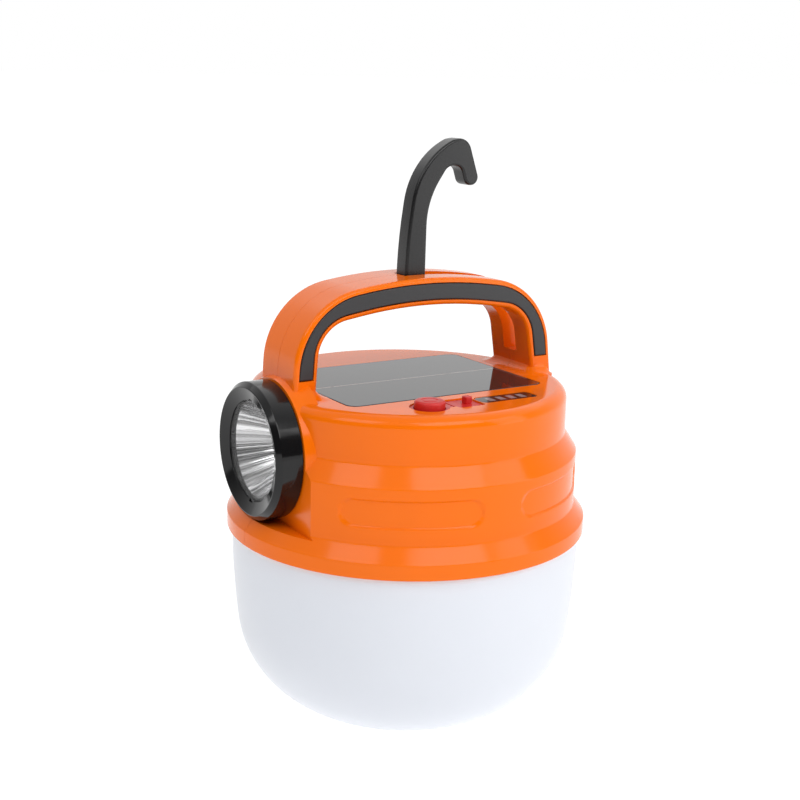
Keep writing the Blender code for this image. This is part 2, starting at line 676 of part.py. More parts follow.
def control_pocket(clearance, low, high):
    """Keyhole outline round the button and under the port cover; clearance is taken off all round."""
    round_r = POCKET_R - clearance
    neck = NECK_WIDTH - 2 * clearance
    bulge = rod("pocket", round_r, low, high, at=(BUTTON_X, CONTROL_Y), steps=MIDDLE_STEPS)
    neck_x1 = COVER_X0 + OVERCUT if clearance == 0 else COVER_X0 - clearance
    strip = rectangle((BUTTON_X + neck_x1) / 2, CONTROL_Y, neck_x1 - BUTTON_X, neck)
    return join(bulge, prism("neck", strip, low, high))


def cover_outline(clearance):
    width = COVER_LENGTH - 2 * clearance
    return rectangle(PORT_CENTRE_X, CONTROL_Y, width, COVER_WIDTH - 2 * clearance, COVER_CORNER_R)


def hook_groove():
    """Slot that the hook folds into: a channel in the band, open right through at its barb."""
    reach = HOOK_HALF + HOOK_FLOOR_GAP
    depth = HANDLE_TOP_Z - (PIVOT_Z - reach)
    floor = [p for p in rounded(handle_outer(depth), closed=False) if OVERCUT < p[0] < GROOVE_END_X]
    turns = [pi / 2 * (1 - k / 6) for k in range(7)]
    under = [(-reach * sin(turn), PIVOT_Z - reach * cos(turn)) for turn in turns]
    end_z = PIVOT_Z - GROOVE_SLOT_DROP
    drop = HOOK_HALF
    outline = [(-reach, OUTSIDE * 2)] + under + floor
    outline += [(GROOVE_END_X, floor[-1][1] - drop), (GROOVE_END_X - drop, end_z), (OUTSIDE, end_z)]
    outline.append((OUTSIDE, OUTSIDE * 2))
    half = HOOK_THICK / 2 + HOOK_SIDE_GAP
    return prism("groove", outline, -half, half, "Y")


def handle_hollow():
    """Hollow in the handle, from the hook's pin to the pillar above the torch."""
    half = HANDLE_DEPTH / 2 - GRIP_RECESS - HANDLE_LEDGE
    hollow = prism("hollow", band(WALL, DECK_Z + HANDLE_HOLLOW_RISE), -half, half, "Y")
    keep = rectangle(OUTSIDE / 2 + HANDLE_HOLLOW_X, PIVOT_Z, OUTSIDE, OUTSIDE)
    return cut(hollow, prism("keep", keep, -OUTSIDE, OUTSIDE, "Y"))


def case_screw_cuts():
    """Counterbores from the rear, through holes and pilot holes for the screws across the split."""
    cuts = []
    for at, seat, length in split_screws():
        cuts.append(rod("bore", SCREW_HEAD_R + GAP, seat, OUTSIDE, "Y", at))
        cuts.append(rod("bore", SCREW_R + GAP, seat - length - BORE_PAST, seat + OVERCUT, "Y", at))
    return cuts


def split_screws():
    """Place, seat and length of each screw across the split."""
    screws = []
    for side in (-1, 1):
        screws.append(((side * CASE_SCREW_X, CASE_SCREW_Z), CASE_SCREW_SEAT, CASE_SCREW_LENGTH))
        pillar_x = PILLAR_SCREW_X - (HANDLE_TORCH_UPRIGHT if side < 0 else 0)
        pillar = (side * pillar_x, DECK_Z + PILLAR_SCREW_RISE)
        screws.append((pillar, PILLAR_SCREW_SEAT, PILLAR_SCREW_LENGTH))
    return screws


def base_screw_places():
    angles = (BASE_SCREW_ANGLE, pi - BASE_SCREW_ANGLE, pi + BASE_SCREW_ANGLE, -BASE_SCREW_ANGLE)
    return [(BASE_SCREW_RING * cos(a), BASE_SCREW_RING * sin(a)) for a in angles]


def bar_places():
    return [WINDOW_CENTRE_X + BAR_PITCH * (k - (BARS - 1) / 2) for k in range(BARS)]


def deck_cuts():
    """Everything sunk into the deck or cut through it."""
    high = DECK_Z + BUTTON_PROUD
    under = DECK_UNDER_Z - OVERCUT
    panel = rectangle(0, PANEL_CENTRE_Y, PANEL_X + 2 * GAP, PANEL_Y + 2 * GAP, PANEL_CORNER_R + GAP)
    window = rectangle(WINDOW_CENTRE_X, CONTROL_Y, WINDOW_X + 2 * GAP, WINDOW_Y + 2 * GAP, WINDOW_CORNER_R)
    cuts = [prism("panel", panel, panel_floor(), high),
            control_pocket(0, DECK_Z - POCKET_DEPTH, high),
            prism("cover", cover_outline(0), DECK_Z - POCKET_DEPTH, high),
            rod("stem", STEM_R + GAP, under, high, at=(BUTTON_X, CONTROL_Y)),
            prism("port", rectangle(PORT_CENTRE_X, CONTROL_Y, PORT_X, PORT_Y, PORT_CORNER_R), under, high),
            prism("window", window, DECK_Z - WINDOW_SINK - WINDOW_THICK - GAP, high),
            rod("lead hole", LEAD_HOLE_R, under, high, at=(LEAD_HOLE_X, LEAD_HOLE_Y))]
    for x in bar_places():
        cuts.append(prism("bar", rectangle(x, CONTROL_Y, BAR_X + 2 * GAP, BAR_Y + 2 * GAP), under, high))
    return cuts


def panel_floor():
    return DECK_Z + PANEL_PROUD - PANEL_THICK - ADHESIVE_THICK - 2 * GAP


def torch_cuts():
    """Flat for the bezel, bore for its sleeve and counterbore for its gasket."""
    flat = rectangle(-OUTSIDE / 2 - TORCH_FLAT_X, 0, OUTSIDE, TORCH_SEAT_Y)
    seat = prism("flat", flat, LOWER_Z - TORCH_SEAT_DROP, OUTSIDE * 2)
    back = -TORCH_FLAT_X + BOSS_LENGTH - OVERCUT / 2
    bore = rod("bore", SPIGOT_R + GAP, -OUTSIDE, back, "X", (0, TORCH_Z), TURN_STEPS)
    sink = -TORCH_FLAT_X + TORCH_GASKET_SINK
    ledge = rod("ledge", BEZEL_R - TORCH_GASKET_EDGE, -OUTSIDE, sink, "X", (0, TORCH_Z), TURN_STEPS)
    return [seat, bore, ledge]


def grip_cuts():
    half = HANDLE_DEPTH / 2
    outline = grip_outline(GAP)
    return [prism("recess", outline, side * (half - GRIP_RECESS), side * OUTSIDE, "Y") for side in (-1, 1)]


def make_shells():
    body = housing_envelope()
    join(body, handle_solid(), foot_solid(-1), foot_solid(1), torch_boss())
    flat, *bores = torch_cuts()
    cut(body, flat)
    cut(body, housing_cavity())
    join(body, *screw_columns())
    cut(body, *bores)
    cut(body, *case_screw_cuts())
    for x, y in base_screw_places():
        tip = PLATE_TOP_Z - PLATE_THICK - GAP + BASE_SCREW_LENGTH + BORE_PAST
        cut(body, rod("pilot", SCREW_R + GAP, PLATE_TOP_Z, tip, at=(x, y)))
    cut(body, *deck_cuts())
    cut(body, *grip_cuts())
    cut(body, hook_groove(), handle_hollow())
    cut(body, rod("pin hole", PIN_R + RUN_GAP, -PIN_LENGTH / 2 - GAP, PIN_LENGTH / 2 + GAP, "Y", (0, PIVOT_Z)))
    for angle in (-PILL_ANGLE, PILL_ANGLE, pi - PILL_ANGLE, pi + PILL_ANGLE):
        cut(body, pill_cutter(angle))
    for name, side in (("shell_front", -1), ("shell_rear", 1)):
        half = body.copy()
        half.data = body.data.copy()
        bpy.context.collection.objects.link(half)
        low, high = sorted((side * GAP / 2, side * OUTSIDE))
        frame = rectangle(0, (low + high) / 2, OUTSIDE * 2, high - low)
        clip(half, prism("half", frame, -OUTSIDE, OUTSIDE * 3))
        finish(half, name, ORANGE, 0.25)
    bpy.data.objects.remove(body)


# ---------------------------------------------------------------- grips, hook and pin
def make_grips():
    half = HANDLE_DEPTH / 2
    for name, side in (("grip_front", -1), ("grip_rear", 1)):
        low, high = sorted((side * (half - GRIP_RECESS + GAP), side * (half + GRIP_PROUD)))
        finish(prism(name, grip_outline(0), low, high, "Y"), name, (0.04, 0.04, 0.042), 0.55)


def hook_outline():
    """Upright hook about its pin: its back is the handle's own outer line, turned up by a quarter turn."""
    crown_side = [p for p in rounded(handle_outer(HOOK_SINK), closed=False) if p[0] > HOOK_HALF / 2]
    back = [(PIVOT_Z - z, x) for x, z in crown_side if x < HOOK_HEAD[0][1] - WELD and z > PIVOT_Z - HOOK_BACK_X]
    head = rounded([(*back[-1], 0), *HOOK_HEAD, (HOOK_HALF, 0, 0)], closed=False)
    foot = [(HOOK_HALF * cos(pi * k / 12), -HOOK_HALF * sin(pi * k / 12)) for k in range(1, 12)]
    start = (-HOOK_HALF, 0)
    return [(x, z + PIVOT_Z) for x, z in [start] + back + head[1:] + foot]


def make_hook():
    half = HOOK_THICK / 2
    hook = soften(prism("hook", hook_outline(), -half, half, "Y"), HOOK_EDGE, angle=radians(60))
    bore = rod("bore", PIN_R + RUN_GAP, -OUTSIDE, OUTSIDE, "Y", (0, PIVOT_Z))
    finish(cut(hook, bore), "hook", BLACK, 0.35, origin=(0, 0, PIVOT_Z))
    pin = rod("pin", PIN_R, -PIN_LENGTH / 2, PIN_LENGTH / 2, "Y", (0, PIVOT_Z))
    finish(pin, "hook_pin", STEEL, 0.3, 1.0)


# ---------------------------------------------------------------- torch
def make_torch():
    centre = (0, 0, TORCH_Z)
    seat = TORCH_FLAT_X + GAP
    bezel_inner_r = SPIGOT_R - SPIGOT_WALL
    mouth_x = BEZEL_FRONT_X - BEZEL_MOUTH_SINK
    lip_x = mouth_x - LENS_LIP
    front_r = BEZEL_R - BEZEL_CHAMFER
    spigot_x = TORCH_FLAT_X - SPIGOT_LENGTH
    bezel = [(BEZEL_R, seat), (BEZEL_R, BEZEL_FRONT_X - BEZEL_CHAMFER), (front_r, BEZEL_FRONT_X),
             (BEZEL_MOUTH_R, mouth_x), (BEZEL_MOUTH_R, lip_x), (bezel_inner_r, lip_x),
             (bezel_inner_r, spigot_x), (SPIGOT_R, spigot_x), (SPIGOT_R, seat)]
    finish(turned("bezel", bezel, TURN_STEPS, "X", centre), "torch_bezel", BLACK, 0.2)

    fit_r = bezel_inner_r - GAP
    lens_x = lip_x - GAP
    lens = [(0, lens_x - LENS_THICK), (fit_r, lens_x - LENS_THICK), (fit_r, lens_x), (0, lens_x)]
    finish(turned("lens", lens, MIDDLE_STEPS, "X", centre), "torch_lens", (0.9, 0.93, 0.95), 0.05)

    rim_x = lens_x - LENS_THICK - GAP
    rim_r = fit_r - REFLECTOR_WALL
    vertex = rim_x - rim_r ** 2 / (4 * REFLECTOR_FOCUS)
    spread = rim_r - REFLECTOR_HOLE_R
    radii = [REFLECTOR_HOLE_R + spread * k / REFLECTOR_RINGS for k in range(REFLECTOR_RINGS + 1)]
    bowl = [(r, vertex + r ** 2 / (4 * REFLECTOR_FOCUS)) for r in radii]
    back = [(r + REFLECTOR_WALL, x - REFLECTOR_WALL / 2) for r, x in bowl[:-1]]
    reflector = bowl + [(fit_r, rim_x), (fit_r, rim_x - REFLECTOR_RIM)] + back[::-1]
    mirror = turned("reflector", reflector, MIDDLE_STEPS, "X", centre)
    finish(mirror, "torch_reflector", (0.85, 0.86, 0.88), 0.06, 1.0)

    gasket_r = BEZEL_R - TORCH_GASKET_EDGE - GAP
    gasket_x = TORCH_FLAT_X - TORCH_GASKET_SINK + GAP
    gasket = [(SPIGOT_R + 2 * GAP, gasket_x), (gasket_r, gasket_x), (gasket_r, TORCH_FLAT_X),
              (SPIGOT_R + 2 * GAP, TORCH_FLAT_X)]
    finish(turned("gasket", gasket, MIDDLE_STEPS, "X", centre), "torch_gasket", (0.03, 0.03, 0.03), 0.8)

    board_x = bowl[0][1] - REFLECTOR_WALL / 2 - GAP
    led_r = REFLECTOR_HOLE_R - LED_LENS_GAP
    turns = [pi / 2 * k / LED_LENS_ROWS for k in range(LED_LENS_ROWS + 1)]
    dome = [(led_r * cos(turn), board_x + LED_LENS_RISE + led_r * sin(turn)) for turn in turns]
    board = [(0, board_x - BOARD_THICK), (TORCH_BOARD_R, board_x - BOARD_THICK), (TORCH_BOARD_R, board_x),
             (led_r, board_x)] + dome[:-1] + [(0, dome[-1][1])]
    finish(turned("led", board, MIDDLE_STEPS, "X", centre), "torch_led_board", (0.85, 0.83, 0.6), 0.3)

    sink_x = board_x - BOARD_THICK - GAP
    sink_r = TORCH_BOARD_R + TORCH_SINK_EDGE
    back_x = sink_x - TORCH_SINK_THICK
    sink = [(TORCH_SINK_HOLE_R, back_x), (sink_r, back_x), (sink_r, sink_x), (TORCH_SINK_HOLE_R, sink_x)]
    finish(turned("sink", sink, MIDDLE_STEPS, "X", centre), "torch_heatsink", STEEL, 0.4, 1.0)
    return back_x


# ---------------------------------------------------------------- deck pieces
def make_solar_panel():
    floor = panel_floor()
    inset = 2 * ADHESIVE_INSET
    pad = rectangle(0, PANEL_CENTRE_Y, PANEL_X - inset, PANEL_Y - inset, PANEL_CORNER_R)
    low = floor + GAP
    pad = prism("pad", pad, low, low + ADHESIVE_THICK)
    cut(pad, rod("lead hole", LEAD_HOLE_R, 0, OUTSIDE * 2, at=(LEAD_HOLE_X, LEAD_HOLE_Y)))
    finish(pad, "solar_adhesive", (0.7, 0.7, 0.68), 0.8)
    panel = rectangle(0, PANEL_CENTRE_Y, PANEL_X, PANEL_Y, PANEL_CORNER_R)
    top = DECK_Z + PANEL_PROUD
    finish(prism("panel", panel, top - PANEL_THICK, top), "solar_panel", (0.06, 0.06, 0.065), 0.15)


def make_button():
    top = DECK_Z + BUTTON_PROUD
    low = DECK_Z - POCKET_DEPTH + BUTTON_TRAVEL + RUN_GAP
    stem_low = DECK_UNDER_Z - STEM_PAST
    edge = rounded([(BUTTON_R, low, 0), (BUTTON_R, top, BUTTON_EDGE), (0, top, 0)], closed=False)
    profile = [(0, stem_low), (STEM_R, stem_low), (STEM_R, low)] + edge
    cap = turned("button", profile, MIDDLE_STEPS, centre=(BUTTON_X, CONTROL_Y, 0))
    finish(cap, "button_cap", RED, 0.45, origin=(BUTTON_X, CONTROL_Y, low))


def make_silicone():
    """Pad round the button, and the cover of the charging port that hinges on the pad's neck."""
    low = DECK_Z - POCKET_DEPTH + GAP
    high = low + SILICONE_THICK
    pad = control_pocket(GAP, low, high)
    cut(pad, rod("hole", BUTTON_R + GAP, 0, OUTSIDE * 2, at=(BUTTON_X, CONTROL_Y), steps=MIDDLE_STEPS))
    finish(pad, "silicone_pad", RED, 0.5)

    cover = prism("cover", cover_outline(GAP), low, high)
    peg = rectangle(PORT_CENTRE_X + PEG_SHIFT, CONTROL_Y, PEG_SIDE, PEG_SIDE, PEG_CORNER_R)
    join(cover, prism("peg", peg, high - SINK_IN, high + PEG_H))
    plug = rectangle(PORT_CENTRE_X, CONTROL_Y, PORT_X - 4 * GAP, PORT_Y - 2 * GAP, PLUG_CORNER_R)
    join(cover, prism("plug", plug, low - PLUG_DEPTH, low + SINK_IN))
    finish(cover, "port_cover", RED, 0.5, origin=(COVER_X0 + GAP, CONTROL_Y, high))


def make_window():
    top = DECK_Z - WINDOW_SINK
    outline = rectangle(WINDOW_CENTRE_X, CONTROL_Y, WINDOW_X, WINDOW_Y, WINDOW_CORNER_R - GAP)
    finish(prism("window", outline, top - WINDOW_THICK, top), "indicator_window", (0.03, 0.02, 0.02), 0.1)
    low = DECK_UNDER_Z - GAP - GUIDE_THICK
    base_x = BARS * BAR_PITCH + 2 * GUIDE_EDGE_X
    base = rectangle(WINDOW_CENTRE_X, CONTROL_Y, base_x, BAR_Y + 2 * GUIDE_EDGE_Y)
    guide = prism("guide", base, low, low + GUIDE_THICK)
    tip = top - WINDOW_THICK - GAP
    for x in bar_places():
        join(guide, prism("bar", rectangle(x, CONTROL_Y, BAR_X, BAR_Y), low + GUIDE_THICK / 2, tip))
    finish(guide, "light_guide", (0.85, 0.85, 0.88), 0.2)


# ---------------------------------------------------------------- electronics
def make_control_board():
    centre_x = BUTTON_X + BOARD_SHIFT_X
    outline = rectangle(centre_x, CONTROL_Y + BOARD_SHIFT_Y, BOARD_X, BOARD_Y, BOARD_CORNER_R)
    board = prism("board", outline, BOARD_TOP_Z - BOARD_THICK, BOARD_TOP_Z)
    finish(board, "control_board", BOARD_GREEN, 0.5)

    low = BOARD_TOP_Z + GAP
    body_top = DECK_UNDER_Z - SWITCH_DROP
    well = rod("well", WELL_R, body_top - WELL_DEPTH, body_top + OVERCUT, at=(BUTTON_X, CONTROL_Y))
    body = rectangle(BUTTON_X, CONTROL_Y, SWITCH_SIDE, SWITCH_SIDE, SWITCH_CORNER_R)
    finish(cut(prism("switch", body, low, body_top), well), "tact_switch", (0.05, 0.05, 0.05), 0.5)
    plunger_low = body_top - WELL_DEPTH + BUTTON_TRAVEL + SINK_IN
    plunger = rod("plunger", PLUNGER_R, plunger_low, DECK_UNDER_Z - STEM_PAST - GAP, at=(BUTTON_X, CONTROL_Y))
    finish(plunger, "tact_plunger", (0.5, 0.45, 0.4), 0.5, origin=(BUTTON_X, CONTROL_Y, plunger_low))

    top = DECK_UNDER_Z + SOCKET_PAST
    can = rectangle(PORT_CENTRE_X, CONTROL_Y, SOCKET_X, SOCKET_Y, SOCKET_CORNER_R)
    mouth = rectangle(PORT_CENTRE_X, CONTROL_Y, SOCKET_X - 2 * SOCKET_WALL, SOCKET_Y - 2 * SOCKET_WALL,
                      SOCKET_CORNER_R - SOCKET_WALL / 2)
    tongue = rectangle(PORT_CENTRE_X, CONTROL_Y, TONGUE_X, TONGUE_Y)
    socket = cut(prism("socket", can, low, top), prism("mouth", mouth, low + SOCKET_FLOOR, top + OVERCUT))
    join(socket, prism("tongue", tongue, low + SOCKET_FLOOR / 2, top - TONGUE_SINK))
    finish(socket, "usb_socket", STEEL, 0.3, 1.0)

    base = rectangle(WINDOW_CENTRE_X, CONTROL_Y, BARS * BAR_PITCH, LED_STRIP_Y)
    strip = prism("strip", base, low, low + LED_STRIP_THICK)
    for x in bar_places():
        chip = rectangle(x, CONTROL_Y, LED_X, LED_Y)
        join(strip, prism("led", chip, low + LED_STRIP_THICK / 2, low + LED_STRIP_THICK + LED_H))
    finish(strip, "indicator_leds", (0.8, 0.8, 0.75), 0.4)
    return centre_x


def make_lamp():
    low = PLATE_TOP_Z - PLATE_THICK
    plate_r = housing_inner_radius(PLATE_TOP_Z) - PLATE_EDGE_GAP
    plate = rod("plate", plate_r, low, PLATE_TOP_Z, steps=TURN_STEPS)
    for at in base_screw_places():
        cut(plate, rod("hole", SCREW_R + GAP, 0, OUTSIDE * 2, at=at))
    cut(plate, rod("lead hole", LAMP_LEAD_R, 0, OUTSIDE * 2, at=(LAMP_LEAD_X, 0)))
    for side in (-1, 1):
        cut(plate, rod("hole", SCREW_R + GAP, 0, OUTSIDE * 2, at=(0, side * LAMP_SCREW_Y)))
    finish(plate, "base_plate", (0.8, 0.8, 0.8), 0.5)

    high = low - GAP
    under = high - LAMP_BOARD_THICK
    board = rod("lamp board", LAMP_BOARD_R, under, high, steps=LAMP_BOARD_STEPS)
    for ring_r, count in CHIP_RINGS:
        for k in range(count):
            chip = prism("chip", rectangle(ring_r, 0, CHIP_X, CHIP_Y), under - CHIP_H, under + SINK_IN)
            chip.data.transform(Matrix.Rotation(2 * pi * (k + 0.5) / count, 4, "Z"))
            join(board, chip)
    for side in (-1, 1):
        cut(board, rod("hole", SCREW_R + GAP, 0, OUTSIDE * 2, at=(0, side * LAMP_SCREW_Y)))
    cut(board, rod("lead hole", LEAD_HOLE_R, 0, OUTSIDE * 2, at=(0, 0)))
    finish(board, "lamp_led_board", (0.85, 0.85, 0.83), 0.4)


def make_battery():
    for name, side in (("battery_cell_a", -1), ("battery_cell_b", 1)):
        x = CELLS_CENTRE_X + side * CELL_SPACING / 2
        end = CELL_LENGTH / 2
        shoulder = end - CELL_TIP_H
        can = [(0, -end), (CELL_R, -end), (CELL_R, shoulder)]
        tip = [(CELL_TIP_R, shoulder), (CELL_TIP_R, end), (0, end)]
        finish(turned(name, can + tip, MIDDLE_STEPS, "Y", (x, 0, CELL_Z)), name, (0.02, 0.12, 0.3), 0.35)
    width = CELL_SPACING + 2 * (CELL_R + HOLDER_EDGE_X)
    outline = rectangle(CELLS_CENTRE_X, 0, width, CELL_LENGTH + 2 * HOLDER_EDGE_Y, HOLDER_CORNER_R)
    cradle = prism("cradle", outline, PLATE_TOP_Z + GAP, CELL_Z - HOLDER_DROP)
    for side in (-1, 1):
        x = CELLS_CENTRE_X + side * CELL_SPACING / 2
        bed = CELL_LENGTH / 2 + BED_PAST
        cut(cradle, rod("bed", CELL_R + GAP, -bed, bed, "Y", (x, CELL_Z), MIDDLE_STEPS))
    finish(cradle, "battery_holder", (0.05, 0.05, 0.05), 0.6)
    for name, side in (("battery_strip_front", -1), ("battery_strip_rear", 1)):
        face = side * (CELL_LENGTH / 2 + GAP)
        low, high = sorted((face, face + side * STRIP_THICK))
        width = CELL_SPACING + 2 * STRIP_PAST
        outline = rectangle(CELLS_CENTRE_X, CELL_Z + STRIP_RISE, width, STRIP_H, STRIP_CORNER_R)
        finish(prism(name, outline, low, high, "Y"), name, (0.7, 0.7, 0.68), 0.35, 1.0)


def lead(name, points, colour):
    """An insulated lead as a round tube along a smooth curve through the points."""
    route = []
    ends = [2 * Vector(points[0]) - Vector(points[1]), 2 * Vector(points[-1]) - Vector(points[-2])]
    ring = [ends[0]] + [Vector(p) for p in points] + [ends[1]]
    for a, b, c, d in zip(ring, ring[1:], ring[2:], ring[3:]):
        for k in range(LEAD_RINGS):
            t = k / LEAD_RINGS
            route.append(0.5 * ((2 * b) + (c - a) * t + (2 * a - 5 * b + 4 * c - d) * t ** 2
                                + (3 * b - a - 3 * c + d) * t ** 3))
    route.append(Vector(points[-1]))
    curve = bpy.data.curves.new(name, "CURVE")
    curve.dimensions = "3D"
    curve.bevel_depth = LEAD_R
    curve.bevel_resolution = 2
    curve.use_fill_caps = True
    spline = curve.splines.new("POLY")
    spline.points.add(len(route) - 1)
    for spot, p in zip(spline.points, route):
        spot.co = (*p, 1)
    shape = bpy.data.objects.new(name, curve)
    bpy.context.collection.objects.link(shape)
    mesh = bpy.data.meshes.new_from_object(shape.evaluated_get(bpy.context.evaluated_depsgraph_get()))
    bpy.data.objects.remove(shape)
    skin = bmesh.new()
    skin.from_mesh(mesh)
    bmesh.ops.remove_doubles(skin, verts=skin.verts, dist=WELD)
    skin.to_mesh(mesh)
    skin.free()
    tube = bpy.data.objects.new(name, mesh)
    bpy.context.collection.objects.link(tube)
    finish(tube, name, colour, 0.5)


def make_leads(torch_back_x, board_x):
    end_gap = LEAD_R + GAP
    under = BOARD_TOP_Z - BOARD_THICK - end_gap
    strip_y = -CELL_LENGTH / 2 - GAP - STRIP_THICK - end_gap
    torch_x = end_gap - torch_back_x
    lead("lead_battery", [(CELLS_CENTRE_X, strip_y, CELL_Z + STRIP_RISE),
                          (CELLS_CENTRE_X - 0.002, strip_y - 0.003, CELL_Z + CELL_R),
                          (CELLS_CENTRE_X - 0.004, CONTROL_Y, under)], RED)
    lead("lead_torch", [(torch_x, 0, TORCH_Z), (torch_x + 0.007, -0.004, TORCH_Z + 0.001),
                        (-0.022, -0.022, TORCH_Z + 0.003), (BUTTON_X, CONTROL_Y, under)], (0.7, 0.7, 0.68))
    lead("lead_lamp", [(LAMP_LEAD_X, 0, PLATE_TOP_Z - PLATE_THICK + GAP), (LAMP_LEAD_X, 0, PLATE_TOP_Z + 0.006),
                       (LAMP_LEAD_X - 0.002, -0.016, CELL_Z + CELL_R),
                       (BUTTON_X + 0.006, CONTROL_Y, under)], (0.7, 0.05, 0.03))
    lead("lead_solar", [(LEAD_HOLE_X, LEAD_HOLE_Y, panel_floor()),
                        (LEAD_HOLE_X, LEAD_HOLE_Y, DECK_UNDER_Z - 0.003),
                        (LEAD_HOLE_X - 0.002, LEAD_HOLE_Y - 0.005, BOARD_TOP_Z - 0.006),
                        (board_x + 0.020, CONTROL_Y, under)], BLACK)


# ---------------------------------------------------------------- screws
def screw(name, axis, at, seat, length, direction):
    """Screw: the head's face lies at seat, and the shank runs from inside the head in the given direction."""
    low, high = sorted((seat - direction * SINK_IN, seat + direction * length))
    shank = rod(name, SCREW_R, low, high, axis, at, SCREW_STEPS)
    low, high = sorted((seat, seat - direction * SCREW_HEAD_H))
    head = rod("head", SCREW_HEAD_R, low, high, axis, at, SCREW_STEPS)
    finish(join(head, shank), name, STEEL, 0.35, 1.0)


def make_screws():
    under_plate = PLATE_TOP_Z - PLATE_THICK - GAP
    for k, at in enumerate(base_screw_places(), 1):
        screw(f"base_screw_{k}", "Z", at, under_plate, BASE_SCREW_LENGTH, 1)
    names = ("case_screw_1", "pillar_screw_1", "case_screw_2", "pillar_screw_2")
    for name, (at, seat, length) in zip(names, split_screws()):
        screw(name, "Y", at, seat + GAP, length, -1)
    for k, side in enumerate((-1, 1), 1):
        under_board = under_plate - LAMP_BOARD_THICK - GAP
        screw(f"lamp_screw_{k}", "Z", (0, side * LAMP_SCREW_Y), under_board, LAMP_SCREW_LENGTH, 1)


# ---------------------------------------------------------------- assembly
for old in list(bpy.data.objects):
    bpy.data.objects.remove(old)

make_shells()
make_grips()
make_hook()
make_dome()
make_dome_gasket()
torch_back = make_torch()
make_solar_panel()
make_button()
make_silicone()
make_window()
board_centre = make_control_board()
make_lamp()
make_battery()
make_leads(torch_back, board_centre)
make_screws()
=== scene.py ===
"""Finished surfaces of a hanging work lantern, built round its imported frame.

Metres, +Z up. The torch faces -X, the controls are on the -Y side of the deck, the hook folds towards +X.
"""
from math import acos, atan2, ceil, cos, hypot, pi, radians, sin, sqrt, tan

import bpy
from mathutils import Matrix, Vector


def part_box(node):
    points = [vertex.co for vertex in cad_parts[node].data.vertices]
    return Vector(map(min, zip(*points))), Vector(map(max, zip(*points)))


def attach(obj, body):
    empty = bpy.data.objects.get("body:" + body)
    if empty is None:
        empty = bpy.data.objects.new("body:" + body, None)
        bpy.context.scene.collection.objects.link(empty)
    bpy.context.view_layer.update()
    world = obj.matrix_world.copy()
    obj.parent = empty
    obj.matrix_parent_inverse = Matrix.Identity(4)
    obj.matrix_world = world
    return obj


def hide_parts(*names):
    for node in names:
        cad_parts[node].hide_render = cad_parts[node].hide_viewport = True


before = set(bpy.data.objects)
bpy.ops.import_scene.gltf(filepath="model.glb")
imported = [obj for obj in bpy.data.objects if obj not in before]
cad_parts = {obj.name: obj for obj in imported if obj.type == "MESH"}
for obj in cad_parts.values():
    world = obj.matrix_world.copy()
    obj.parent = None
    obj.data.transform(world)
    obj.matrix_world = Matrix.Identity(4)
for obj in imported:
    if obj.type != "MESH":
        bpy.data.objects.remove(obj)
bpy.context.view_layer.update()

# ---------------------------------------------------------------- camera, table and light
# The lantern stands on a lit white table, seen through a long lens from a little above the deck. Three soft
# boxes stand round it under a bright ceiling. The wall behind it is white, and the room in front is dark.
VIEW_AZIMUTH = radians(-31.904)
VIEW_ELEVATION = radians(13.618)
VIEW_DISTANCE = 0.49284
VIEW_ROLL = radians(1.261)
VIEW_LENS = 61.48            # millimetres, as is the sensor's width
VIEW_SENSOR = 36
AIM_HEIGHT = 0.1149
AIM_SHIFT = -0.00275
BOX_DISTANCE = 1.1
CEILING_POWER = 1.45
CEILING_SPREAD = radians(120)
ROOM_FILL = 0.06             # what lights the lantern from all round
TABLE_GLOW = 0.87
TABLE_GAP = 0.0002           # between the table and the dome's flat

back = Vector((sin(VIEW_AZIMUTH) * cos(VIEW_ELEVATION), -cos(VIEW_AZIMUTH) * cos(VIEW_ELEVATION),
               sin(VIEW_ELEVATION)))
right = Vector((cos(VIEW_AZIMUTH), sin(VIEW_AZIMUTH), 0))
up = back.cross(right)
spot = Vector((0, 0, AIM_HEIGHT)) + right * AIM_SHIFT + back * VIEW_DISTANCE
turned_right = right * cos(VIEW_ROLL) + up * sin(VIEW_ROLL)
turned_up = up * cos(VIEW_ROLL) - right * sin(VIEW_ROLL)
bpy.ops.object.camera_add()
camera = bpy.context.object
camera.matrix_world = (Matrix.Translation(spot)
                       @ Matrix((turned_right, turned_up, back)).transposed().to_4x4())
camera.data.lens = VIEW_LENS
camera.data.sensor_width = VIEW_SENSOR
camera.data.clip_start = 0.01
bpy.context.scene.camera = camera
bpy.context.scene.view_settings.view_transform = "Standard"


def lamp(name, side, rise, width, height, power):
    """A soft rectangular lamp that faces the lantern; side is its angle from the camera, to the right."""
    azimuth = VIEW_AZIMUTH + side
    away = Vector((sin(azimuth) * cos(rise), -cos(azimuth) * cos(rise), sin(rise)))
    place = Vector((0, 0, AIM_HEIGHT)) + away * BOX_DISTANCE
    bpy.ops.object.light_add(type="AREA", location=place, rotation=away.to_track_quat("Z", "Y").to_euler())
    made = bpy.context.object
    made.name = name
    made.data.shape = "RECTANGLE"
    made.data.size = width
    made.data.size_y = height
    made.data.energy = power
    made.visible_camera = False


lamp("right box", side=radians(34), rise=radians(43), width=0.8, height=0.5, power=4.4)
lamp("left box", side=radians(-40), rise=radians(43), width=0.5, height=0.45, power=1.9)
lamp("side box", side=radians(76), rise=radians(16), width=0.5, height=1.0, power=3.1)
bpy.ops.object.light_add(type="SUN", location=(0, 0, 1))
bpy.context.object.name = "ceiling light"
bpy.context.object.data.energy = CEILING_POWER
bpy.context.object.data.angle = CEILING_SPREAD

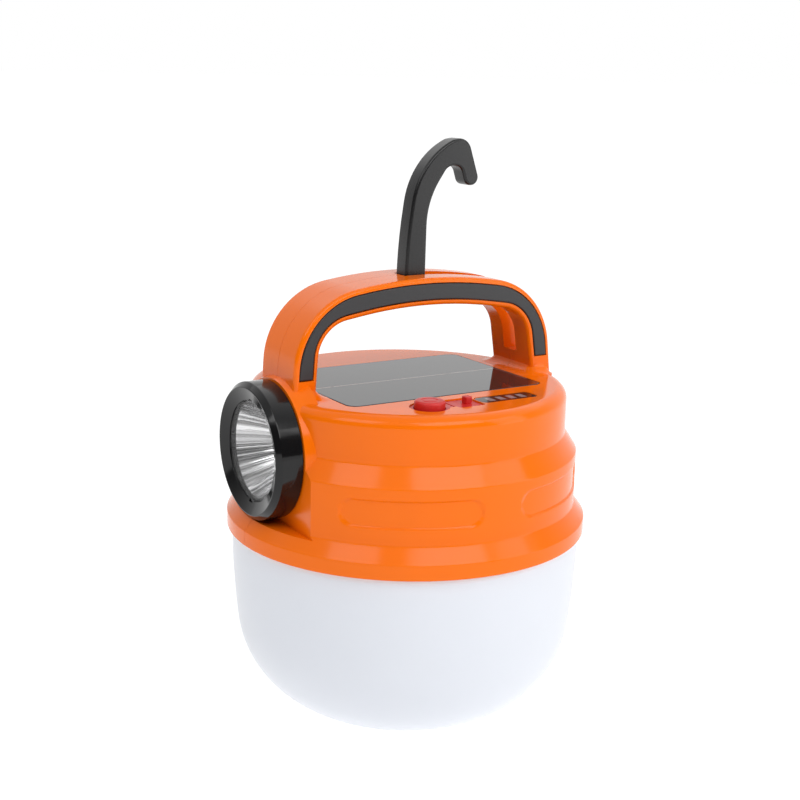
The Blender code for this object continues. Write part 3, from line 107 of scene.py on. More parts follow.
world = bpy.data.worlds.new("white room")
bpy.context.scene.world = world
world.use_nodes = True
tree = world.node_tree
room = tree.nodes["Background"]
room.inputs["Color"].default_value = (1.0, 1.0, 1.0, 1.0)
heading = tree.nodes.new("ShaderNodeVectorMath")
heading.operation = "DOT_PRODUCT"
tree.links.new(tree.nodes.new("ShaderNodeTexCoord").outputs["Generated"], heading.inputs[0])
heading.inputs[1].default_value = (-sin(VIEW_AZIMUTH), cos(VIEW_AZIMUTH), 0)
mirrored = tree.nodes.new("ShaderNodeMapRange")      # the gloss shows the dark room and the white wall
for socket, value in (("From Min", -0.1), ("From Max", 0.7), ("To Min", 0.04), ("To Max", 1.0)):
    mirrored.inputs[socket].default_value = value
tree.links.new(heading.outputs["Value"], mirrored.inputs["Value"])
paths = tree.nodes.new("ShaderNodeLightPath")
soft = tree.nodes.new("ShaderNodeMapRange")
soft.inputs["To Min"].default_value = ROOM_FILL
tree.links.new(paths.outputs["Is Glossy Ray"], soft.inputs["Value"])
tree.links.new(mirrored.outputs["Result"], soft.inputs["To Max"])
seen = tree.nodes.new("ShaderNodeMath")
seen.operation = "MAXIMUM"
tree.links.new(soft.outputs["Result"], seen.inputs[0])
tree.links.new(paths.outputs["Is Camera Ray"], seen.inputs[1])
tree.links.new(seen.outputs["Value"], room.inputs["Strength"])

bpy.ops.mesh.primitive_plane_add(size=60, location=(0, 0, -TABLE_GAP))
table = bpy.context.object
table.name = "table"
white = bpy.data.materials.new("lit white table")
white.use_nodes = True
surface = white.node_tree.nodes["Principled BSDF"]
for socket, value in (("Base Color", (0.35, 0.35, 0.35, 1.0)), ("Roughness", 0.9),
                      ("Specular IOR Level", 0.0), ("Emission Color", (1.0, 1.0, 1.0, 1.0)),
                      ("Emission Strength", TABLE_GLOW)):
    surface.inputs[socket].default_value = value
table.data.materials.append(white)

# ---------------------------------------------------------------- housing shells
# Two half shells of glossy orange ABS. The stepped housing, the deck, the torch's boss and the handle are one
# moulding each side; the halves meet on the plane y = 0 and are screwed together from the rear.
WELD = 0.000002              # points closer than this are one point
LEVEL = 0.00001              # points this near to the deck's height lie on it
GAP = 0.0003                 # between pieces that touch
PAST = 0.001                 # how far a cutter goes past the face that it cuts
OUTSIDE = 0.1                # well outside the lantern
ARC_TOLERANCE = 0.00002      # how far the chords of an arc may lie off it
SEAM = 0.00014               # open line between the two shells
BRIM_R = 0.06499             # a hair inside the frame's own brim
BRIM_H = 0.0053
BRIM_LOW_EDGE = 0.0004
BRIM_TOP_EDGE = 0.0007
LEDGE_H = 0.005
LEDGE_FILLET = 0.001
LOWER_R = 0.0611
LOWER_H = 0.0192
LOWER_EDGE = 0.0009
CONE_H = 0.0066
CONE_FILLET = 0.0012
UPPER_R = 0.0568
DECK_EDGE_R = 0.0043
WALL = 0.0022
DECK_WALL = 0.0044
HOUSING_STEPS = 420
PILL_ANGLE = radians(30)
PILL_HALF_SPAN = radians(22.7)
PILL_H = 0.0093
PILL_DEPTH = 0.0006
PILL_RISE = 0.0010
PILL_SOFT = 0.0008           # width of the rounded rim of each recess
ROW = 0.00032                # height of the rows of faces on the lower step
HANDLE_DEPTH = 0.025
HANDLE_FOOT_X = 0.0552
HANDLE_CORNER_X = 0.0509
HANDLE_TORCH_UPRIGHT = 0.0024   # the foot on the torch's side stands in by this, so that pillar leans less
HANDLE_APEX_RISE = 0.0403
HANDLE_CROWN_FALL = 0.0079
HANDLE_CORNER_R = 0.028
HANDLE_CROWN_R = 0.18
HANDLE_BAND_TOP = 0.0097
HANDLE_BAND_SIDE = 0.0087
HANDLE_INNER_R = 0.013
HANDLE_EDGE = 0.0015
HANDLE_ROOT = 0.003
FOOT_FLARE = 0.0052
FOOT_ROWS = 14
FOOT_INSET = 0.0006
FOOT_CORNER_R = 0.0045
GRIP_INSET = 0.002
GRIP_END_RISE = 0.0066
GRIP_RECESS = 0.0015
TORCH_FLAT_X = 0.0543
TORCH_SEAT_Y = 0.064
TORCH_SEAT_DROP = 0.0011
TORCH_WALL_INSET = 0.008     # how much narrower than its flat the wall behind the torch is
TORCH_STEPS = 180
BOSS_FRONT_R = 0.0244
BOSS_BACK_R = 0.027
BOSS_LENGTH = 0.0073
BEZEL_R = 0.0238
BEZEL_SEAT_INSET = 0.0009    # the round ledge in the boss is smaller than the bezel that covers it
SPIGOT_R = 0.0197
BUTTON_X = -0.0158
CONTROL_Y = -0.0388
STEM_HOLE_R = 0.0023
POCKET_R = 0.0068
POCKET_DEPTH = 0.0016
COVER_LENGTH = 0.0106
COVER_WIDTH = 0.0115
COVER_CORNER_R = 0.0012
NECK_LENGTH = 0.0026
NECK_WIDTH = 0.007
PORT_LENGTH = 0.010
PORT_WIDTH = 0.0042
PORT_CORNER_R = 0.001
CUTTER_RISE = 0.003          # of the tools that cut the deck, above it
PANEL_PROUD = 0.0001         # of the panel above the deck
LIP = 0.00012                # rounded edge of every pocket in the deck

brim_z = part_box("shell_front")[0].z
handle_top_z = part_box("shell_front")[1].z
panel_low, panel_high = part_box("solar_panel")
deck_z = panel_high.z - PANEL_PROUD
brim_top_z = brim_z + BRIM_H
lower_z = brim_top_z + LEDGE_H
lower_top_z = lower_z + LOWER_H
upper_z = lower_top_z + CONE_H
torch_z = sum(corner.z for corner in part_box("torch_bezel")) / 2
pivot_z = sum(corner.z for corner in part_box("hook_pin")) / 2
plate_top_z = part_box("base_plate")[1].z
cover_x0 = BUTTON_X + sqrt(POCKET_R ** 2 - (NECK_WIDTH / 2) ** 2) + NECK_LENGTH
cover_x1 = cover_x0 + COVER_LENGTH


def rounded(corners, closed=True):
    """Points of an outline whose corners (x, y, radius) become arcs."""
    points = []
    for i, (x, y, r) in enumerate(corners):
        if r <= 0 or (not closed and i in (0, len(corners) - 1)):
            points.append((x, y))
            continue
        here = Vector((x, y))
        before = (Vector(corners[i - 1][:2]) - here).normalized()
        after = (Vector(corners[(i + 1) % len(corners)][:2]) - here).normalized()
        half = before.angle(after) / 2
        centre = here + (before + after).normalized() * (r / sin(half))
        first = here + before * (r / tan(half)) - centre
        turn = pi - 2 * half
        if before.x * after.y - before.y * after.x > 0:
            turn = -turn
        steps = max(3, ceil(abs(turn) / (2 * acos(1 - min(ARC_TOLERANCE / r, 1)))))
        points += [tuple(centre + Matrix.Rotation(turn * k / steps, 2) @ first) for k in range(steps + 1)]
    return points


def rectangle(x, y, width, height, radius=0.0):
    """A rectangle about (x, y) with equal round corners."""
    corners = [(-1, -1), (1, -1), (1, 1), (-1, 1)]
    return rounded([(x + width / 2 * a, y + height / 2 * b, radius) for a, b in corners])


def seen_from_above(low, high, clearance, radius):
    """Outline of a box from above with round corners, larger all round by a clearance."""
    middle = (low + high) / 2
    size = high - low
    return rectangle(middle.x, middle.y, size.x + 2 * clearance, size.y + 2 * clearance, radius)


def traced(name, points):
    """Draw a run of points as extruded edges in a new object, left in edit mode with all of it selected."""
    bpy.ops.object.select_all(action="DESELECT")
    bpy.ops.mesh.primitive_plane_add(size=1, location=(0, 0, 0))
    piece = bpy.context.object
    piece.name = name
    piece.data.name = name
    bpy.ops.object.mode_set(mode="EDIT")
    bpy.ops.mesh.select_mode(type="VERT")
    bpy.ops.mesh.merge(type="CENTER")
    bpy.ops.transform.translate(value=points[0])
    for a, b in zip(points, points[1:]):
        bpy.ops.mesh.extrude_region_move(TRANSFORM_OT_translate={"value": Vector(b) - Vector(a)})
    bpy.ops.mesh.select_all(action="SELECT")
    return piece


def closed_up(piece):
    """Merge doubled points, face everything outwards and leave edit mode."""
    bpy.ops.mesh.select_all(action="SELECT")
    bpy.ops.mesh.remove_doubles(threshold=WELD)
    bpy.ops.mesh.normals_make_consistent(inside=False)
    bpy.ops.object.mode_set(mode="OBJECT")
    return piece


def turned(name, profile, steps, torch=False):
    """Spin a profile of (radius, height) about Z, or about the torch's axis with its height towards -X."""
    if torch:
        points = [(-h, 0, torch_z + r) for r, h in profile]
    else:
        points = [(r, 0, h) for r, h in profile]
    piece = traced(name, points)
    bpy.ops.mesh.spin(steps=steps, angle=2 * pi, center=(0, 0, torch_z if torch else 0),
                      axis=(1, 0, 0) if torch else (0, 0, 1), use_auto_merge=False)
    return closed_up(piece)


def plate(name, outline, low, high, across="Z"):
    """Fill an outline drawn across an axis and extrude it from low to high along that axis."""
    place = "XYZ".index(across)
    piece = traced(name, [(*point[:place], low, *point[place:]) for point in outline + outline[:1]])
    bpy.ops.mesh.remove_doubles(threshold=WELD)
    bpy.ops.mesh.edge_face_add()
    step = Vector((across == "X", across == "Y", across == "Z")) * (high - low)
    bpy.ops.mesh.extrude_region_move(TRANSFORM_OT_translate={"value": step})
    return closed_up(piece)


def rod(name, radius, low, high, at, across="Z", steps=48):
    """A round bar along an axis; at is its place across that axis."""
    place = "XYZ".index(across)
    middle = (*at[:place], (low + high) / 2, *at[place:])
    turn = {"X": (0, pi / 2, 0), "Y": (pi / 2, 0, 0), "Z": (0, 0, 0)}[across]
    bpy.ops.object.select_all(action="DESELECT")
    bpy.ops.mesh.primitive_cylinder_add(vertices=steps, radius=radius, depth=high - low, location=middle,
                                        rotation=turn)
    bpy.ops.object.transform_apply(location=True, rotation=True, scale=True)
    bpy.context.object.name = name
    return bpy.context.object


def only(piece):
    """Make a piece the one that operators act on."""
    bpy.ops.object.select_all(action="DESELECT")
    piece.select_set(True)
    bpy.context.view_layer.objects.active = piece
    return piece


def unpicked(kind):
    """Deselect all of the active mesh, so that its faces or edges can be picked in object mode."""
    bpy.ops.object.mode_set(mode="EDIT")
    bpy.ops.mesh.select_mode(type=kind)
    bpy.ops.mesh.select_all(action="DESELECT")
    bpy.ops.object.mode_set(mode="OBJECT")


def applied(piece, kind, **settings):
    """Add a modifier with its settings and apply it."""
    only(piece)
    modifier = piece.modifiers.new(kind.lower(), kind)
    for key, value in settings.items():
        setattr(modifier, key, value)
    bpy.ops.object.modifier_apply(modifier=modifier.name)
    return piece


def combined(piece, operation, *tools):
    """Apply a Boolean with each tool in turn and take the tools away."""
    for tool in tools:
        applied(piece, "BOOLEAN", operation=operation, solver="MANIFOLD", object=tool)
        bpy.data.objects.remove(tool)
    return piece


def bevelled(piece, width, segments, angle=radians(50)):
    """Round the sharp edges."""
    return applied(piece, "BEVEL", width=width, segments=segments, limit_method="ANGLE", angle_limit=angle)


def smooth(piece):
    """Shade smooth across gentle angles, led by the larger faces."""
    only(piece)
    bpy.ops.object.shade_smooth_by_angle(angle=radians(30))
    return applied(piece, "WEIGHTED_NORMAL", keep_sharp=True, weight=60)


def shifted(corners, distance):
    """An open line of corners moved to the right of its run, its arcs kept concentric."""
    lines = []
    for (x0, y0, _), (x1, y1, _) in zip(corners, corners[1:]):
        along = Vector((x1 - x0, y1 - y0)).normalized()
        lines.append((Vector((x0, y0)) + Vector((along.y, -along.x)) * distance, along))
    moved = [(*lines[0][0], 0)]
    for (p, u), (q, v), corner in zip(lines, lines[1:], corners[1:-1]):
        reach = ((q - p).x * v.y - (q - p).y * v.x) / (u.x * v.y - u.y * v.x)
        moved.append((*(p + u * reach), max(corner[2] - distance, 0)))
    last = Vector(corners[-1][:2]) - Vector(corners[-2][:2])
    moved.append((*(lines[-1][0] + last), 0))
    return moved


def handle_line(foot_x, corner_x, rise, fall, corner_r, crown_r):
    """Foot-to-foot line of the handle: two pillars that lean in, and two gentle slopes up to the crown."""
    foot = deck_z - HANDLE_ROOT
    top = deck_z + rise
    return [(HANDLE_TORCH_UPRIGHT - foot_x, foot, 0), (-corner_x, top - fall, corner_r), (0, top, crown_r),
            (corner_x, top - fall, corner_r), (foot_x, foot, 0)]


def handle_outer(inset):
    """The handle's outer line, moved in by a distance."""
    line = handle_line(HANDLE_FOOT_X, HANDLE_CORNER_X, HANDLE_APEX_RISE, HANDLE_CROWN_FALL, HANDLE_CORNER_R,
                       HANDLE_CROWN_R)
    return shifted(line, inset)


def handle_inner(outset):
    """The inner line round the hand's opening, moved out into the band by a distance."""
    corner_x = HANDLE_CORNER_X - HANDLE_BAND_SIDE
    line = handle_line(HANDLE_FOOT_X - HANDLE_BAND_SIDE, corner_x, HANDLE_APEX_RISE - HANDLE_BAND_TOP,
                       HANDLE_CROWN_FALL * corner_x / HANDLE_CORNER_X, HANDLE_INNER_R,
                       HANDLE_CROWN_R - HANDLE_BAND_TOP)
    return shifted(line, -outset)


def trimmed(points, floor):
    """The part of a foot-to-foot line above a level, with its ends on that level."""
    kept = [p for p in points if p[1] > floor]
    below = (points[points.index(kept[0]) - 1], points[points.index(kept[-1]) + 1])
    ends = []
    for low, high in zip(below, (kept[0], kept[-1])):
        share = (floor - low[1]) / (high[1] - low[1])
        ends.append((low[0] + (high[0] - low[0]) * share, floor))
    return [ends[0]] + kept + [ends[1]]


def band(edge, floor=None):
    """Closed outline of the handle's band, a distance inside its own edges."""
    outer = rounded(handle_outer(edge), closed=False)
    inner = rounded(handle_inner(edge), closed=False)
    if floor is not None:
        outer, inner = trimmed(outer, floor), trimmed(inner, floor)
    return outer + inner[::-1]


def grip_outline(clearance):
    """Outline of a grip, cut off level at both ends, larger all round by a clearance."""
    return band(GRIP_INSET - clearance, deck_z + GRIP_END_RISE - clearance)


def filled_rows(points):
    """The profile with close rows added up the lower step, where the recesses are pressed in."""
    rows = points[:1]
    for (r0, z0), (r1, z1) in zip(points, points[1:]):
        count = 1
        if abs(r0 - LOWER_R) < WELD and abs(r1 - LOWER_R) < WELD:
            count = ceil((z1 - z0) / ROW)
        rows += [(r0 + (r1 - r0) * k / count, z0 + (z1 - z0) * k / count) for k in range(1, count + 1)]
    return rows


def pill_share(place):
    """How far a point of the lower step is pressed in, from 0 to 1: a pill-shaped recess with a soft rim."""
    nearest = 1.0
    for middle in (-PILL_ANGLE, PILL_ANGLE, pi - PILL_ANGLE, pi + PILL_ANGLE):
        heading = atan2(place.x, -place.y) - middle
        heading = atan2(sin(heading), cos(heading))
        if abs(heading) < pi / 4:
            along = LOWER_R * (abs(sin(heading)) - sin(PILL_HALF_SPAN)) + PILL_H / 2
            rise = place.z - (lower_z + lower_top_z) / 2 - PILL_RISE
            nearest = min(nearest, hypot(max(along, 0), rise) - PILL_H / 2)
    share = min(max((PILL_SOFT / 2 - nearest) / PILL_SOFT, 0), 1)
    return share * share * (3 - 2 * share)


profile = rounded([(0, brim_z, 0), (BRIM_R, brim_z, BRIM_LOW_EDGE), (BRIM_R, brim_top_z, BRIM_TOP_EDGE),
                   (LOWER_R, lower_z, LEDGE_FILLET), (LOWER_R, lower_top_z, LOWER_EDGE),
                   (UPPER_R, upper_z, CONE_FILLET), (UPPER_R, deck_z, DECK_EDGE_R), (0, deck_z, 0)],
                  closed=False)
body = turned("housing", filled_rows(profile), HOUSING_STEPS)
pressed = body.vertex_groups.new(name="recesses")
for vertex in body.data.vertices:
    if lower_z < vertex.co.z < lower_top_z and hypot(vertex.co.x, vertex.co.y) > LOWER_R - WELD:
        share = pill_share(vertex.co)
        if share > 0:
            pressed.add([vertex.index], share, "REPLACE")
applied(body, "DISPLACE", vertex_group="recesses", strength=-PILL_DEPTH, mid_level=0.0)

handle_half = HANDLE_DEPTH / 2
bow = bevelled(plate("handle", band(0), -handle_half, handle_half, "Y"), HANDLE_EDGE, 5)
combined(bow, "INTERSECT", rod("limit", UPPER_R - WELD, 0, OUTSIDE * 2, (0, 0), steps=360))


def foot(side):
    """Hollow fillet between a pillar and the deck, drawn in row by row from its widest outline."""
    foot_x = HANDLE_FOOT_X - (HANDLE_TORCH_UPRIGHT if side < 0 else 0)
    lean = (foot_x - HANDLE_CORNER_X) / (HANDLE_APEX_RISE - HANDLE_CROWN_FALL)
    outer = foot_x - FOOT_INSET - FOOT_FLARE * lean
    sizes = []
    for k in range(FOOT_ROWS + 1):
        rise = FOOT_FLARE * (1 - cos(pi / 2 * k / FOOT_ROWS))
        grow = FOOT_FLARE * (1 - sin(pi / 2 * k / FOOT_ROWS))
        width = outer - (foot_x - HANDLE_BAND_SIDE - rise * lean - grow)
        sizes.append((width, HANDLE_DEPTH - FOOT_INSET + 2 * grow, deck_z + rise))
    width, depth, _ = sizes[0]
    outline = rectangle(side * (outer - width / 2), 0, width, depth, FOOT_CORNER_R)
    piece = plate("foot", outline, deck_z - PAST, deck_z)
    unpicked("FACE")
    for face in piece.data.polygons:
        face.select = face.normal.z > 0.9
    bpy.ops.object.mode_set(mode="EDIT")
    for (w0, d0, z0), (w1, d1, z1) in zip(sizes, sizes[1:]):
        bpy.ops.mesh.extrude_region_move(TRANSFORM_OT_translate={"value": (0, 0, z1 - z0)})
        bpy.ops.transform.resize(value=(w1 / w0, d1 / d0, 1), center_override=(side * outer, 0, z1))
    return closed_up(piece)


boss_slope = (BOSS_BACK_R - BOSS_FRONT_R) / BOSS_LENGTH
boss_back = TORCH_FLAT_X - BOSS_LENGTH
boss = turned("boss", [(0, boss_back), (BOSS_BACK_R, boss_back),
                       (BOSS_FRONT_R - boss_slope * PAST, TORCH_FLAT_X + PAST), (0, TORCH_FLAT_X + PAST)],
              TORCH_STEPS, torch=True)
combined(body, "UNION", bow, foot(-1), foot(1), boss)

seat_line = rectangle(-OUTSIDE / 2 - TORCH_FLAT_X, 0, OUTSIDE, TORCH_SEAT_Y)
seat = plate("seat", seat_line, lower_z - TORCH_SEAT_DROP, OUTSIDE * 2)
under_z = deck_z - DECK_WALL
inner_side = [(0, brim_z - PAST), (BRIM_R - WALL, brim_z - PAST), (BRIM_R - WALL, brim_top_z - PAST),
              (LOWER_R - WALL, lower_z - PAST), (LOWER_R - WALL, lower_top_z - PAST / 2),
              (UPPER_R - WALL, upper_z - PAST / 2), (UPPER_R - WALL, under_z), (0, under_z)]
cavity = turned("cavity", inner_side, 120)
wall_behind = rectangle(-OUTSIDE / 2 - TORCH_FLAT_X + WALL, 0, OUTSIDE, TORCH_SEAT_Y - TORCH_WALL_INSET)
combined(cavity, "DIFFERENCE", plate("torch wall", wall_behind, plate_top_z + GAP, OUTSIDE * 2))
combined(body, "DIFFERENCE", seat, cavity)

SCREW_BORE_R = 0.0029
SCREW_COLUMN_WALL = 0.0017
SCREW_HEAD_H = 0.0021
screws = [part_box(name) for name in ("case_screw_1", "case_screw_2", "pillar_screw_1", "pillar_screw_2")]
screw_places = [((low.x + high.x) / 2, (low.z + high.z) / 2, high.y) for low, high in screws]
for x, z, _ in screw_places[:2]:
    column = rod("column", SCREW_BORE_R + SCREW_COLUMN_WALL, PAST, OUTSIDE, (x, z), "Y")
    combined(column, "INTERSECT", rod("limit", LOWER_R - WALL / 2, 0, OUTSIDE * 2, (0, 0), steps=120))
    combined(body, "UNION", column)
for x, z, head in screw_places:
    combined(body, "DIFFERENCE", rod("bore", SCREW_BORE_R, head - SCREW_HEAD_H, OUTSIDE, (x, z), "Y"))

back_x = -TORCH_FLAT_X + BOSS_LENGTH - PAST / 2
for radius, end_x in ((SPIGOT_R + GAP, back_x), (BEZEL_R - BEZEL_SEAT_INSET, PAST - TORCH_FLAT_X)):
    combined(body, "DIFFERENCE", rod("bore", radius, -OUTSIDE, end_x, (0, torch_z), "X", TORCH_STEPS))

PANEL_CORNER_R = 0.004
above = deck_z + CUTTER_RISE
pocket_z = deck_z - POCKET_DEPTH
port_x = (cover_x0 + cover_x1) / 2
window_low, window_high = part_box("indicator_window")
WINDOW_CORNER_R = 0.0022
keyhole = rod("pocket", POCKET_R, pocket_z, above, (BUTTON_X, CONTROL_Y), steps=72)
neck = rectangle((BUTTON_X + cover_x0 + PAST) / 2, CONTROL_Y, cover_x0 + PAST - BUTTON_X, NECK_WIDTH)
cover_hole = rectangle(port_x, CONTROL_Y, COVER_LENGTH, COVER_WIDTH, COVER_CORNER_R)
combined(keyhole, "UNION", plate("neck", neck, pocket_z, above), plate("cover", cover_hole, pocket_z, above))
panel_hole = seen_from_above(panel_low, panel_high, GAP, PANEL_CORNER_R)
window_hole = seen_from_above(window_low, window_high, GAP, WINDOW_CORNER_R)
port_hole = rectangle(port_x, CONTROL_Y, PORT_LENGTH, PORT_WIDTH, PORT_CORNER_R)
panel_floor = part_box("solar_adhesive")[0].z - GAP
combined(body, "DIFFERENCE", keyhole, plate("panel", panel_hole, panel_floor, above),
         plate("window", window_hole, window_low.z - GAP, above),
         rod("stem", STEM_HOLE_R, under_z - PAST, above, (BUTTON_X, CONTROL_Y)),
         plate("port", port_hole, under_z - PAST, above))

only(body)
unpicked("EDGE")
sides = {}
for face in body.data.polygons:
    for key in face.edge_keys:
        sides.setdefault(key, []).append(face.normal)
for edge in body.data.edges:
    ends = [body.data.vertices[i].co for i in edge.vertices]
    level = all(abs(end.z - deck_z) < LEVEL and hypot(end.x, end.y) < UPPER_R - DECK_EDGE_R for end in ends)
    faces = sides[tuple(sorted(edge.vertices))]
    edge.select = level and len(faces) == 2 and faces[0].angle(faces[1], 0) > radians(60)
bpy.ops.object.mode_set(mode="EDIT")
bpy.ops.mesh.bevel(offset=LIP, segments=2, affect="EDGES", clamp_overlap=True)
bpy.ops.object.mode_set(mode="OBJECT")

for side in (-1, 1):
    floor_y, face_y = side * (handle_half - GRIP_RECESS), side * OUTSIDE
    combined(body, "DIFFERENCE", plate("recess", grip_outline(GAP), floor_y, face_y, "Y"))

HOOK_HALF = 0.0042
HOOK_THICK = 0.0070
GROOVE_REACH_GAP = 0.0006    # round the hook's foot and under its back
GROOVE_SIDE_GAP = 0.00035
GROOVE_TURN_STEPS = 12
GROOVE_END_X = 0.0345        # the groove's floor ends here and the barb's slot goes on down
GROOVE_SLOT_DROP = 0.0265
reach = HOOK_HALF + GROOVE_REACH_GAP
groove_floor = rounded(handle_outer(handle_top_z - pivot_z + reach), closed=False)
groove_floor = [p for p in groove_floor if PAST < p[0] < GROOVE_END_X]
turns = [pi / 2 * (1 - k / GROOVE_TURN_STEPS) for k in range(GROOVE_TURN_STEPS + 1)]
groove = [(-reach, OUTSIDE * 2)] + [(-reach * sin(turn), pivot_z - reach * cos(turn)) for turn in turns]
slot_z = pivot_z - GROOVE_SLOT_DROP
groove += groove_floor + [(GROOVE_END_X, groove_floor[-1][1] - HOOK_HALF), (GROOVE_END_X - HOOK_HALF, slot_z)]
groove += [(OUTSIDE, slot_z), (OUTSIDE, OUTSIDE * 2)]
groove_half = HOOK_THICK / 2 + GROOVE_SIDE_GAP
combined(body, "DIFFERENCE", plate("groove", groove, -groove_half, groove_half, "Y"))

for name, side in (("front_shell", -1), ("rear_shell", 1)):
    only(body)
    bpy.ops.object.duplicate()
    shell = bpy.context.object
    shell.name = name
    shell.data.name = name
    low, high = sorted((side * SEAM / 2, side * OUTSIDE))
    half_room = plate("half", rectangle(0, (low + high) / 2, OUTSIDE * 2, high - low), -OUTSIDE, OUTSIDE * 3)
    combined(shell, "INTERSECT", half_room)
    smooth(shell)
bpy.data.objects.remove(body)


class Value:
    """A shader socket that takes part in arithmetic: each operator adds the Math node that it stands for."""

    def __init__(self, finish, socket):
        self.finish = finish
        self.socket = socket

    def maths(self, operation, a, b=0.0):
        return self.finish.node("ShaderNodeMath", {0: a, 1: b}, operation=operation)

    def __add__(self, other):
        return self.maths("ADD", self, other)

    def __sub__(self, other):
        return self.maths("SUBTRACT", self, other)

    def __rsub__(self, other):
        return self.maths("SUBTRACT", other, self)

    def __mul__(self, other):
        return self.maths("MULTIPLY", self, other)

    def __abs__(self):
        return self.maths("ABSOLUTE", self)

    def __lt__(self, other):
        return self.maths("LESS_THAN", self, other)

    def __gt__(self, other):
        return self.maths("GREATER_THAN", self, other)

    __radd__ = __add__
    __rmul__ = __mul__


class Finish:
    """A Principled finish in the making; constants go straight to the shader's own sockets."""

    def __init__(self, name, **constants):
        self.material = bpy.data.materials.new(name)
        self.material.use_nodes = True
        self.tree = self.material.node_tree
        self.shader = self.tree.nodes["Principled BSDF"]
        self.shows(**constants)

    def shows(self, **sockets):
        """Set the shader's own sockets, or link what varies over the surface to them."""
        for socket, value in sockets.items():
            self.feed(self.shader, socket.replace("_", " ").title().replace("Ior", "IOR"), value)

    def feed(self, node, socket, value):
        if isinstance(value, Value):
            self.tree.links.new(value.socket, node.inputs[socket])
        else:
            node.inputs[socket].default_value = value

    def node(self, kind, inputs, output=0, **settings):
        """Add a node: its settings first, then the values or links of its sockets."""
        made = self.tree.nodes.new(kind)
        for key, value in settings.items():
            setattr(made, key, value)
        for socket, value in inputs.items():
            self.feed(made, socket, value)
        return Value(self, made.outputs[output])

    def place(self):
        """The point's own coordinates on the piece, in metres."""
        return self.node("ShaderNodeTexCoord", {}, "Object")

    def axes(self, point):
        """The three coordinates of a point as separate values."""
        first = self.node("ShaderNodeSeparateXYZ", {"Vector": point})
        return [Value(self, first.socket.node.outputs[axis]) for axis in "XYZ"]

    def noise(self, point, scale, detail=2.0):
        return self.node("ShaderNodeTexNoise", {"Vector": point, "Scale": scale, "Detail": detail}, "Fac")

    def mixed(self, share, a, b):
        """A colour between a and b."""
        return self.node("ShaderNodeMix", {0: share, 6: (*a, 1) if isinstance(a, tuple) else a,
                                           7: (*b, 1) if isinstance(b, tuple) else b}, 2, data_type="RGBA")

    def span(self, value, low, high, to_low=0.0, to_high=1.0):
        """A value carried from one range to another, and held at its ends."""
        return self.node("ShaderNodeMapRange", {"Value": value, "From Min": low, "From Max": high,
                                                "To Min": to_low, "To Max": to_high})

    def bump(self, height, distance, strength=1.0):
        raised = self.node("ShaderNodeBump", {"Height": height, "Distance": distance, "Strength": strength})
        self.shows(normal=raised)


def tint(colour, share):
    return tuple(min(channel * share, 1) for channel in colour)


def moulded(name, colour, roughness, grain_scale=1800.0, grain=0.000006, vary=0.05, **constants):
    """Moulded plastic or rubber: faint clouds in its colour and gloss, and a fine surface grain."""
    finish = Finish(name, **constants)
    point = finish.place()
    clouds = finish.noise(point, 55.0, 3.0)
    clouded = finish.mixed(clouds, tint(colour, 1 - vary), tint(colour, 1 + vary))
    finish.shows(base_color=clouded)
    finish.shows(roughness=finish.span(clouds, 0.3, 0.7, roughness * 0.9, roughness * 1.15))
    finish.bump(finish.noise(point, grain_scale, 2.0), grain)
    return finish.material


def dressed(piece, material, node, body="housing"):
    """Give a piece its finish, let it stand for its CAD node, and ride it on its body."""
    piece.data.materials.clear()
    piece.data.materials.append(material)
    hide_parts(node)
    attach(piece, body)


ORANGE = (0.92, 0.165, 0.002)
orange = moulded("glossy orange plastic", ORANGE, 0.14, 1500.0, 0.000004, 0.035, specular_ior_level=0.22)
dressed(bpy.data.objects["front_shell"], orange, "shell_front")
dressed(bpy.data.objects["rear_shell"], orange, "shell_rear")

# ---------------------------------------------------------------- diffuser dome
# One blow-moulded bowl of opal polycarbonate, 1.8 mm thick, that stands on its small flat. Its neck goes up
# inside the brim, and a bead runs round it just below the orange.
DOME_R = 0.06315
DOME_WALL = 0.0018
DOME_LEAN = radians(6.4)
DOME_CORNER_R = 0.0385
DOME_CAP_HEADING = radians(80.8)
DOME_FLAT_R = 0.016
DOME_BEAD = 0.0002
DOME_BEAD_H = 0.0011
DOME_STEPS = 240
ORANGE_BOUNCE_LOW = 0.0022            # painted orange light bounced from the brim lies on the opal between these depths below it
ORANGE_BOUNCE_HIGH = 0.0008
dome_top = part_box("diffuser_dome")[1].z
dome_depth = brim_z - GAP


